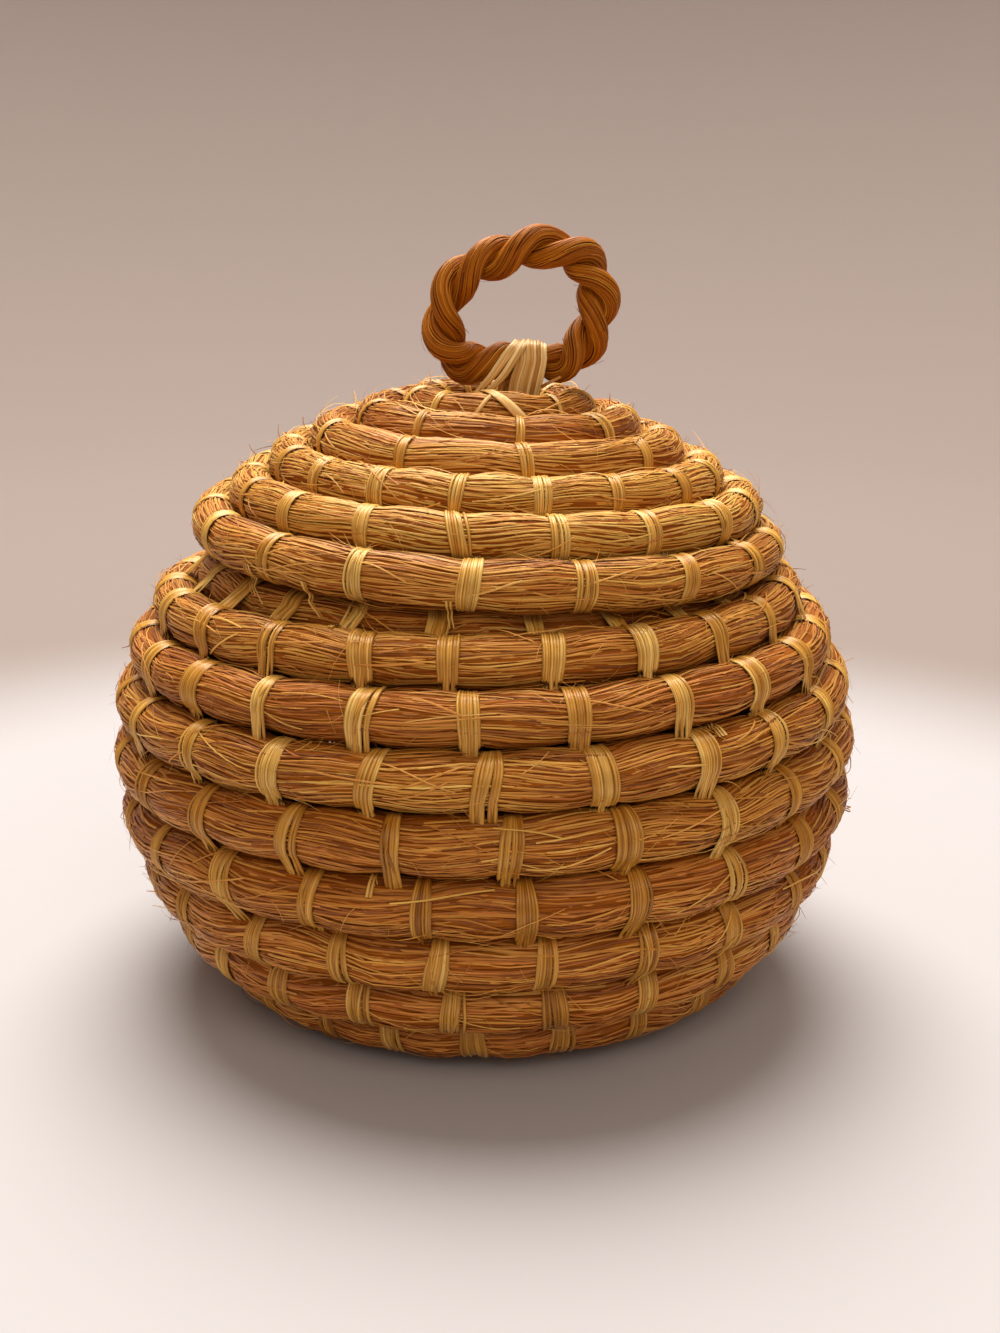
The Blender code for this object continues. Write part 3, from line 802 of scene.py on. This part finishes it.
def grass_fibres(winding, start, stop, redness, tones):
    """A group of fibres between two runs, in clumps that share a slope."""
    begin, lengths, turn, clump = fibre_places(start, stop)
    count = len(begin)
    x = np.linspace(-0.5, 0.5, FIBRE_POINTS)[None, :]
    low, high = max(start - FIBRE_OVERRUN, 0.0), min(stop + FIBRE_OVERRUN, winding.length)
    run = np.clip(begin[:, None] + lengths[:, None] * (x + 0.5), low, high)
    # A hair's breadth between points keeps clipped ends from falling together.
    run += np.linspace(0.0, 1e-5, FIBRE_POINTS)[None, :]
    stray = rng.random(count) < STRAY_SHARE
    slope = clump[:, 0] * CLUMP_SLOPE + rng.normal(0.0, FIBRE_SLOPE, count)
    slope += np.where(stray, rng.normal(0.0, STRAY_SLOPE, count), 0.0)
    sway = waves(run, SWAY_LENGTHS, SWAY)
    sway = sway + waves(run, SPREAD_LENGTHS, SPREAD) * np.sin(turn[:, None])
    bow = clump[:, 1] * CLUMP_BOW + rng.normal(0.0, FIBRE_BOW, count)
    angle = turn[:, None] + sway + slope[:, None] * x + bow[:, None] * np.sin(x * 2 * math.pi)
    lift = rng.normal(-FIBRE_SINK, FIBRE_HEAP, count) + clump[:, 2] * CLUMP_HEAP + stray * STRAY_LIFT
    lift = lift[:, None] - FIBRE_END_DEPTH * np.abs(2 * x) ** 6
    lift = lift - TUCK_DEPTH * winding.pinched(run, STITCH_HALF_WIDTH)
    points, normals = winding.place(run, angle, lift)
    crowding = 1.0 - LANE_CROWDING_SHARE * np.cos(turn[:, None])
    lane_width = 2 * math.pi / LANES * crowding * winding.bundle_radius(run)
    width = lane_width * rng.uniform(*FIBRE_WIDTH_SHARES, count)[:, None]
    width = width * (1.0 - FIBRE_TAPER * np.abs(2 * x) ** 4)
    ridge = FIBRE_RIDGE * rng.uniform(*FIBRE_RIDGE_SHARES, count)[:, None]
    ridge = ridge * (1.0 - RIDGE_TAPER * np.abs(2 * x) ** 6)
    turns = np.interp(begin, winding.run, winding.index) / POINTS_PER_TURN - winding.front_share
    return points, normals, width, ridge, fibre_colours(turns, run, angle, clump, redness, tones)


def anywhere(winding, number):
    """Random places on the outer side of the bundle, as runs and turns."""
    run = rng.uniform(0.01, winding.length - 0.01, number)
    return run[:, None], np.radians(rng.normal(0.0, 45.0, number))[:, None]


def tufted(winding, tufts):
    """Places close together. Each tuft is (turns, degrees around the bundle, number)."""
    runs, turns = [], []
    for along, around, number in tufts:
        runs.append(winding.front_run(along) + rng.normal(0.0, TUFT_REACH, number))
        turns.append(np.radians(around + rng.normal(0.0, TUFT_SPREAD, number)))
    return np.concatenate(runs)[:, None], np.concatenate(turns)[:, None]


def loose_fibres(winding, places, reach, lengths, high, free, widths):
    """Thin fibres lying over the bundle. They arch from end to end, or one end stands free."""
    run, turn = places
    number = len(run)
    x = np.linspace(0.0, 1.0, LOOSE_POINTS)[None, :]
    along = rng.uniform(*lengths, number)[:, None] * rng.choice((-1.0, 1.0), (number, 1))
    slope = rng.normal(0.0, reach, number)[:, None]
    bend = rng.normal(0.0, reach / 2, number)[:, None]
    peak = rng.uniform(high * 0.15, high, number)[:, None]
    lift = peak * (x**1.7 if free else np.sin(math.pi * x)) + LOOSE_LIFT
    place = np.clip(run + along * x, 0.0, winding.length)
    points, normals = winding.place(place, turn + slope * x + bend * x * x, lift)
    width = rng.uniform(*widths, number)[:, None] * (1.0 - 0.6 * x * free)
    tone = np.broadcast_to(rng.normal(0.68, 0.22, number)[:, None], width.shape)
    warm = np.clip(rng.normal(0.35, 0.3, number), 0, 1)[:, None, None]
    return points, normals, width, width * 0.4, grass_colour(tone, warm)


def leaving_angle(entry):
    """Where a strand leaves its row to reach the row before straight, at its entry there."""
    side, down = math.cos(entry), math.sin(entry) - 2.0
    return math.atan2(down, side) + math.acos(min(1.0 / math.hypot(side, down), 1.0))


def over_row(winding, run, count, leave, wide):
    """A stitch's strands round the inner side of a row and over it, their heap and where they end."""
    back = np.radians(np.linspace(*STITCH_BACK_ANGLES, STITCH_BACK_POINTS))
    front = np.linspace(math.radians(STITCH_FRONT_ANGLE), leave, STITCH_FRONT_POINTS)
    turns = np.concatenate([back, front])[None, :]
    place = centred(count)
    lower = place.copy()
    over = np.zeros(count)
    if count > 3 and rng.random() < CROSSING_SHARE:
        strand = rng.integers(0, count)
        lower[strand] = -place[strand] * rng.uniform(0.5, 1.0)
        over[strand] = CROSSING_LIFT
    top_fan, low_fan = rng.uniform(*TOP_FAN_SHARES), rng.uniform(*LOW_FAN_SHARES)
    pitch = STITCH_STRAND_WIDTH * rng.uniform(*STRAND_PITCH_SHARES) * wide
    marks = -np.array([back[0], back[-1], math.radians(90.0), math.radians(25.0), leave])
    fan = np.interp(-turns, marks, [0.7, 0.8, top_fan, 1.0, low_fan])
    swing = np.interp(-turns, marks, [0.0, 0.0, 0.0, 0.35, 0.9])
    slant = rng.normal(0.0, STITCH_SLANT)
    own = rng.normal(0.0, STRAND_WANDER, (count, 1))
    middle = place[:, None] * (1 - swing) + lower[:, None] * swing
    along = run + middle * pitch * fan + slant * np.sin(turns) + own * np.cos(turns)
    heap = rng.uniform(0.0, STITCH_HEAP, (count, 1)) + over[:, None]
    lift = STITCH_LIFT + heap * np.cos(np.clip(turns, -1.2, 1.5)) ** 2
    points, normals = winding.place(np.clip(along, 0.0, winding.length), turns, lift)
    return points, normals, heap, along[:, -1:] - run


def into_row_before(winding, points, normals, heap, last, entry):
    """Strands carried on from their row into the one before, with the outer ones in higher."""
    count = len(points)
    rounded = ENTRY_ROUNDING * (centred(count)[:, None] / max(count / 2, 1)) ** 2 - ENTRY_DROP
    enter = np.array([[entry, entry - ENTRY_RUN]]) + rounded + rng.normal(0.0, ENTRY_WANDER, (count, 1))
    sink = np.array([[STITCH_LIFT, -STITCH_DEPTH]]) + heap * 0.3
    run = np.broadcast_to(np.clip(last, 0.0, winding.length), enter.shape)
    down, down_normals = winding.place(run, enter, sink)
    bridge = (points[:, -1:] + down[:, :1]) / 2
    bridge_normals = unit(normals[:, -1:] + down_normals[:, :1])
    points = np.concatenate([points, bridge, down], axis=1)
    return points, np.concatenate([normals, bridge_normals, down_normals], axis=1)


def stitch_strands(winding, runs, wide, entry_angles, tones):
    """The strands of stitches: round the inner side and over the row, then into the row before it."""
    groups = []
    for run in runs:
        share = np.interp(float(winding.read(run)[0]), CROWN_RADII, CROWN_STRANDS_SHARES)
        count = max(2, round((STITCH_STRANDS + rng.integers(-1, 2)) * share))
        entry = math.radians(rng.uniform(*entry_angles))
        index = float(np.interp(run, winding.run, winding.index))
        linked = index > POINTS_PER_TURN
        leave = leaving_angle(entry) if linked else math.radians(UNLINKED_END_ANGLE)
        points, normals, heap, last = over_row(winding, run, count, leave, wide)
        if linked:
            last = last + float(winding.run_at(index - POINTS_PER_TURN))
            points, normals = into_row_before(winding, points, normals, heap, last, entry)
        shape = (count, points.shape[1])
        width = STITCH_STRAND_WIDTH * wide * rng.uniform(*STRAND_WIDTH_SHARES, (count, 1))
        ridge = STITCH_RIDGE * rng.uniform(*STRAND_RIDGE_SHARES, (count, 1))
        mean = by_row(index / POINTS_PER_TURN - winding.front_share, tones)
        base = np.clip(rng.normal(mean, 0.12), mean - 0.20, mean + 0.24)
        tone = base + rng.normal(0.0, 0.16, (count, 1)) + rng.normal(0.0, 0.03, shape)
        groups.append((points, normals, width, ridge, shade(STRAND_SHADES, tone)))
    return groups


def stitch_tails(winding, places):
    """Loose ends of strands that hang from under a row. Each place is (turns, sideways, count)."""
    points = []
    for turns, sideways, count in places:
        run = winding.front_run(turns)
        for strand in range(count):
            own = np.full(3, run + (strand - count / 2) * TAIL_SPACING)
            under, _ = winding.place(own, np.radians(TAIL_ANGLES), np.array(TAIL_LIFTS))
            angle = winding.read(own)[6][0]
            out = spun(1.0, angle, 0.0)
            along = np.array([-math.sin(angle), math.cos(angle), 0.0]) * sideways
            reach = rng.uniform(0.6, 1.1)
            low = np.array([0.0, 0.0, -reach])
            bend = under[-1] + out * TAIL_STEP + along * TAIL_STEP / 2 + low * TAIL_STEP
            last = bend + out * TAIL_STEP + along * TAIL_SWING * reach + low * TAIL_DROP
            points.append(smooth_line([*under, bend, last], 12))
    points = np.array(points)
    outward = unit(points * (1.0, 1.0, 0.0))
    points, outward, widths, ridges, colours = raffia(points, outward, TAIL_WIDTH, STRAND_SHADES)
    return points, outward, widths * np.linspace(1.0, 0.35, points.shape[1]), ridges, colours


def make_coils():
    """The two windings, pinched by their stitches, and the stitches' places line by line."""
    body = make_body_winding()
    lid = make_lid_winding()

    def body_allowed(line, radius, index):
        spacing = 2 * math.pi * radius / BODY_STITCH_LINES
        every = 1 if spacing > STITCH_LEAST_SPACING else 2 if 2 * spacing > STITCH_LEAST_SPACING else 4
        return index > BODY_FIRST_STITCH_INDEX and line % every == 0

    def lid_allowed(line, radius, index):
        clear = abs(index - CROSSING_INDEX) > CROSSING_CLEARANCE
        return clear and (line % 2 == 0 or radius > LID_FULL_LINES_RADIUS)

    body_lines = stitch_places(body, BODY_STITCH_LINES, BODY_STITCH_LEAN, BELLY_RADIUS,
                               BODY_STITCH_START_SHARE, -1, body_allowed)
    lid_lines = stitch_places(lid, LID_STITCH_LINES, LID_STITCH_LEAN, LID_RADIUS,
                              LID_STITCH_START_SHARE, 1, lid_allowed)
    # Close stitches hold down the end of each bundle.
    for winding, lines in ((body, body_lines), (lid, lid_lines)):
        lines[0] += [winding.length - away for away in CLOSING_STITCHES]
        winding.pinches = np.sort(np.concatenate(lines))
    return body, lid, body_lines, lid_lines


def dress_coil(prefix, winding, body, parts, redness, tones):
    dress(bundle_core(prefix + "_core", winding), body, prefix + "_coil")
    bounds = [winding.run_at(share * winding.index[-1]) for share in parts]
    for number, (start, stop) in enumerate(zip(bounds[:-1], bounds[1:])):
        fibres = grass_fibres(winding, start, stop, redness, tones)
        dress(strands(f"{prefix}_grass_{number + 1}", [fibres], GRASS), body, prefix + "_coil")


def dress_loose(prefix, winding, body, number, tails, tufts):
    groups = [stitch_tails(winding, tails),
              loose_fibres(winding, anywhere(winding, number), *LYING_FIBRES),
              loose_fibres(winding, anywhere(winding, number // 2), *STANDING_FIBRES),
              loose_fibres(winding, anywhere(winding, number * 3), *FUZZ_FIBRES),
              loose_fibres(winding, tufted(winding, tufts), *TUFT_FIBRES)]
    dress(strands(prefix + "_loose_fibres", groups, GRASS), body, prefix + "_coil")


def dress_lines(prefix, winding, lines, body, wide, entry_angles, tones):
    for number, runs in enumerate(lines, 1):
        groups = stitch_strands(winding, runs, wide, entry_angles, tones)
        piece = strands(f"{prefix}_sewing_{number:02d}", groups, STRAND, STITCH_EDGE_PAINTED_SHADE)
        dress(piece, body, f"{prefix}_stitches_{number:02d}")


def ply_fibres(middle, away, radii, around):
    """A ply's twisted fibres, and hairs that stand off it."""
    way = unit(np.gradient(middle, axis=0))
    across = unit(np.cross(way, away))
    up = np.cross(across, way)
    start = 2 * math.pi * np.arange(PLY_FIBRES)[:, None] / PLY_FIBRES
    twist = start + PLY_TWIST * around[None, :] + rng.normal(0.0, 0.04, (PLY_FIBRES, 1))
    twist = twist + rng.normal(0.0, 0.10, (PLY_FIBRES, 1)) * np.sin(3 * around[None, :] + start)
    normals = up[None] * np.cos(twist)[..., None] + across[None] * np.sin(twist)[..., None]
    sunk = rng.normal(-PLY_FIBRE_DEPTH, PLY_FIBRE_HEAP, (PLY_FIBRES, 1, 1))
    points = middle[None] + normals * (radii[None, :, None] + sunk)
    width = 2 * math.pi * PLY_RADIUS / PLY_FIBRES * PLY_FIBRE_OVERLAP_SHARE
    tone = 0.5 + waves(start, ROPE_TONE_LENGTHS, 0.12) + rng.normal(0.0, 0.13, (PLY_FIBRES, 1))
    tone = tone + rng.normal(0, 0.03, (PLY_FIBRES, PLY_POINTS))
    own = rng.integers(0, PLY_FIBRES, (PLY_HAIRS, 1))
    step = rng.integers(0, PLY_POINTS - LOOSE_POINTS, (PLY_HAIRS, 1)) + np.arange(LOOSE_POINTS)[None, :]
    x = np.linspace(0.0, 1.0, LOOSE_POINTS)[None, :]
    rise = rng.uniform(*HAIR_HEIGHTS, (PLY_HAIRS, 1)) * x**1.6 + PLY_FIBRE_DEPTH
    hairs = points[own, step] + normals[own, step] * rise[..., None]
    hair_tone = np.broadcast_to(rng.uniform(0.4, 1.0, (PLY_HAIRS, 1)), rise.shape)
    return [(points, normals, width, PLY_FIBRE_RIDGE, shade(ROPE_SHADES, tone)),
            (hairs, normals[own, step], HAIR_WIDTH, HAIR_RIDGE, shade(ROPE_SHADES, hair_tone))]


def make_ring():
    """Two plies laid round each other along the ring, a little unevenly and squeezed by the binding."""
    line = smooth_line([(side, 0.0, rise) for side, rise in (*RING_LINE, RING_LINE[0])], PLY_POINTS) + HINGE
    around = np.linspace(0.0, 2 * math.pi, PLY_POINTS)
    tangent = np.gradient(line, axis=0)
    tangent[0] = tangent[-1] = (1.0, 0.0, 0.0)
    lay = np.full(PLY_POINTS, PLY_LAY_START)
    for ahead, where, reach in PLY_LAY_SHIFTS:
        lay += ahead * np.exp(-(((np.degrees(around) - where) / reach) ** 2))
    lay = np.radians(lay) - PLY_TURNS * around
    beside = (line[:, 0] - HINGE[0] - BINDING_SIDE) / BINDING_SQUEEZE_REACH
    bound = np.exp(-(beside**4)) * (line[:, 2] < HINGE[2] + BINDING_SQUEEZE_HEIGHT)
    squeeze = 1.0 - BINDING_SQUEEZE * bound
    plump = 1.0 + PLY_PLUMP_SHARE * np.sin(3 * around + 0.5)
    front = np.tile((0.0, -1.0, 0.0), (PLY_POINTS, 1))
    side = np.cross(unit(tangent), front)
    for number in (0, 1):
        turn = lay + number * math.pi
        away = front * np.cos(turn)[:, None] + side * np.sin(turn)[:, None]
        middle = line + away * (PLY_OFFSET * squeeze)[:, None]
        radii = PLY_RADIUS * squeeze * plump ** (1 - 2 * number)
        name = f"handle_ply_{number + 1}"
        core = tube(name + "_core", middle, away, radii - PLY_CORE_DEPTH, PAINTED_SHADE_ROPE_CORE_COLOUR, CORE)
        fibres = strands(name, ply_fibres(middle, away, radii, around), ROPE, STITCH_EDGE_PAINTED_SHADE)
        for piece in (core, fibres):
            dress(piece, "handle", "handle_rope")


def raffia(points, normals, width, shades=RAFFIA_SHADES):
    """A group of raffia strands, given as rows of points."""
    count, steps = points.shape[:2]
    tone = rng.normal(RAFFIA_TONE, 0.24, (count, 1)) + rng.normal(0.0, 0.03, (count, steps))
    widths = width * rng.uniform(0.9, 1.4, (count, 1))
    return points, normals, widths, widths * 0.38, shade(shades, tone)


def side_by_side(line, centre, count, pitch, fans, width, steps):
    """Strands side by side along a line from the hinge, facing away from a centre line along X."""
    line = smooth_line(HINGE + np.array(line), steps)
    normal = line - centre
    normal[:, 0] = 0.0
    normal = unit(normal)
    side = unit(np.cross(np.gradient(line, axis=0), normal))
    fan = np.interp(np.linspace(0.0, 1.0, steps), np.linspace(0.0, 1.0, len(fans)), fans)
    place = centred(count)[:, None, None] * pitch
    wave = np.sin(np.linspace(0, 5, steps) + 1.0)[None, :, None]
    own = rng.normal(0.0, pitch * 0.25, (count, 1, 1)) * wave
    heap = rng.uniform(0.0, BUNDLE_HEAP, (count, 1, 1))
    points = line[None] + side[None] * (place * fan[None, :, None] + own) + normal[None] * heap
    return raffia(points, np.broadcast_to(normal, points.shape), width)


def binding_loop(offset, reach):
    """One strand's way up from inside the crown, over the ring's foot and back down."""
    legs = [(BINDING_SIDE + offset * share - shift, out, height)
            for (share, shift, height), out in zip(LEG_POINTS, (LEG_FOOT_REACH, reach))]
    arc = [(BINDING_SIDE + offset, -reach * math.cos(turn), reach * math.sin(turn))
           for turn in np.linspace(0.0, math.pi, 7)]
    front = [(side, -out, height) for side, out, height in legs]
    return smooth_line(HINGE + np.array([*front, *arc, *legs[::-1]]), 34)


def make_binding():
    """Raffia over the ring's foot and down through the crown, with a slanting bundle beside it."""
    groups = []
    for place in np.linspace(-1.0, 1.0, BINDING_STRANDS):
        reach = BINDING_REACH + rng.uniform(0.0, BINDING_REACH_WANDER) - BINDING_EDGE_DROP * place**2
        line = binding_loop(place * BINDING_HALF_WIDTH, reach)
        normal = (line - HINGE) * (0.0, 1.0, 1.0)
        normal[:, 2] = np.maximum(normal[:, 2], 0.0)
        groups.append(raffia(line[None], unit(normal)[None], BINDING_STRAND_WIDTH))
    low = HINGE - (0.0, 0.0, BUNDLE_DROP)
    groups.append(side_by_side(SLANTING_LINE, low, *SLANTING_BUNDLE))
    groups.append(side_by_side(LOOSE_END_LINE, low, *LOOSE_END_BUNDLE))
    turns = np.radians(np.linspace(-CROSSING_ANGLE, CROSSING_ANGLE, 15))[None, :]
    for slant, count, shift, high in CROSSING_STITCHES:
        place = centred(count)[:, None] * CROSSING_SPACING
        along = lid_winding.run_at(CROSSING_INDEX) + shift + place + slant * turns / 1.4
        line, normals = lid_winding.place(along, turns, high)
        groups.append(raffia(line, normals, CROSSING_WIDTH))
    dress(strands("handle_binding_raffia", groups, STRAND), "lid", "handle_binding")


def make_knot():
    """The knot inside the lid: raffia wound on itself."""
    low, high = (np.array(corner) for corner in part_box("binding_knot"))
    centre, half = (low + high) / 2, (high - low) / 2
    share = np.linspace(-0.98, 0.98, 15)
    line = centre + share[:, None] * np.array([0.0, 0.0, half[2] - KNOT_END_DEPTH])
    radii = (half[0] - KNOT_CORE_DEPTH) * np.sqrt(1 - share**2)
    side = np.tile((1.0, 0.0, 0.0), (len(line), 1))
    core = tube("binding_knot_core", line, side, radii, PAINTED_SHADE_CORE_COLOUR, CORE)
    around = np.linspace(0.0, 2 * math.pi, 25)[None, :, None]
    groups = []
    for way in KNOT_WAYS:
        pole = unit(np.array(way) + rng.normal(0.0, 0.16, (KNOT_STRANDS, 3)))
        first = unit(np.cross(pole, (0.0, 0.0, 1.0)))
        second = np.cross(pole, first)
        ball = first[:, None] * np.cos(around) + second[:, None] * np.sin(around)
        ball = unit(ball + pole[:, None] * rng.uniform(-0.35, 0.35, (KNOT_STRANDS, 1, 1)))
        reach = half - KNOT_HEAP + rng.uniform(0.0, KNOT_HEAP, (KNOT_STRANDS, 1, 1))
        groups.append(raffia(centre + ball * reach, unit(ball / half), KNOT_STRAND_WIDTH))
    for piece in (core, strands("binding_knot_raffia", groups, STRAND)):
        dress(piece, "lid", "binding_knot")


def floor_material():
    """Pale near the basket, darker beyond: the darker wall's own colour, and painted light falling off away
    from the basket.
    """
    look, nodes, links, shader = shader_of("floor", 0.8, 0.2)
    place = nodes.new("ShaderNodeTexCoord")
    reach = nodes.new("ShaderNodeVectorMath")
    reach.operation = "LENGTH"
    fade = nodes.new("ShaderNodeMapRange")
    fade.interpolation_type = "SMOOTHSTEP"
    set_inputs(fade, dict(zip(("From Min", "From Max"), BACKDROP_RADII)))
    mix = mix_node(nodes, "MIX")
    # Painted light: a pale pool round the basket, darkening outward into the wall's darker colour
    set_inputs(mix, {"A": (*FLOOR_SHADE, 1.0), "B": (*BACKDROP_COLOUR_AND_PAINTED_FALLOFF, 1.0)})
    links.new(place.outputs["Object"], reach.inputs[0])
    links.new(reach.outputs["Value"], fade.inputs["Value"])
    links.new(fade.outputs["Result"], mix.inputs["Factor"])
    links.new(mix.outputs["Result"], shader.inputs["Base Color"])
    return look


def make_floor():
    """A pale floor that curves up all round into a low wall."""
    sweep = np.linspace(0.0, math.pi / 2, STAGE_ARC_STEPS)
    inner = FLOOR_RADIUS * np.array(FLOOR_RING_SHARES)
    radii = [*inner, *(FLOOR_RADIUS + STAGE_CURVE * np.sin(sweep)), FLOOR_RADIUS + STAGE_CURVE]
    heights = [*(inner * 0.0), *(STAGE_CURVE * (1 - np.cos(sweep))), STAGE_HEIGHT]
    turns = 2 * math.pi * np.arange(STAGE_SIDES) / STAGE_SIDES
    places = [(0.0, 0.0, 0.0)]
    for radius, height in zip(radii, heights):
        places += [(radius * math.cos(turn), radius * math.sin(turn), height) for turn in turns]
    faces = [(0, side + 1, (side + 1) % STAGE_SIDES + 1) for side in range(STAGE_SIDES)]
    for row in range(len(radii) - 1):
        low = 1 + row * STAGE_SIDES
        for side in range(STAGE_SIDES):
            after = (side + 1) % STAGE_SIDES
            faces.append((low + side, low + STAGE_SIDES + side, low + STAGE_SIDES + after, low + after))
    data = bpy.data.meshes.new("floor")
    data.from_pydata(places, [], faces)
    data.shade_smooth()
    data.materials.append(floor_material())
    floor = bpy.data.objects.new("floor", data)
    bpy.context.scene.collection.objects.link(floor)


def area_light(name, place, target, size, power, colour):
    data = bpy.data.lights.new(name, "AREA")
    data.shape = "DISK"
    data.size = size
    data.energy = power
    data.color = colour
    lamp = bpy.data.objects.new(name, data)
    bpy.context.scene.collection.objects.link(lamp)
    lamp.location = place
    lamp.rotation_euler = (Vector(target) - Vector(place)).to_track_quat("-Z", "Y").to_euler()


def make_light():
    for light in LIGHTS:
        area_light(*light)
    world = bpy.data.worlds.new("studio")
    world.use_nodes = True
    set_inputs(world.node_tree.nodes["Background"], {"Color": STUDIO_COLOUR, "Strength": STUDIO_STRENGTH})
    bpy.context.scene.world = world


body_winding, lid_winding, body_lines, lid_lines = make_coils()
dress_coil("body", body_winding, "basket", BODY_PART_SHARES, BODY_RED_SHARES, BODY_TONES)
dress_coil("lid", lid_winding, "lid", LID_PART_SHARES, LID_RED_SHARES, LID_TONES_WITH_PAINTED_LIGHT)
dress_lines("body", body_winding, body_lines, "basket", 1.0, BODY_ENTRY_ANGLES, BODY_STITCH_TONES)
dress_lines("lid", lid_winding, lid_lines, "lid", LID_STRAND_SHARE, LID_ENTRY_ANGLES, LID_STITCH_TONES)
make_binding()
make_knot()
dress_loose("body", body_winding, "basket", BODY_LOOSE_FIBRES, BODY_TAILS, BODY_TUFTS)
dress_loose("lid", lid_winding, "lid", LID_LOOSE_FIBRES, LID_TAILS, LID_TUFTS)
make_ring()
make_floor()
make_light()
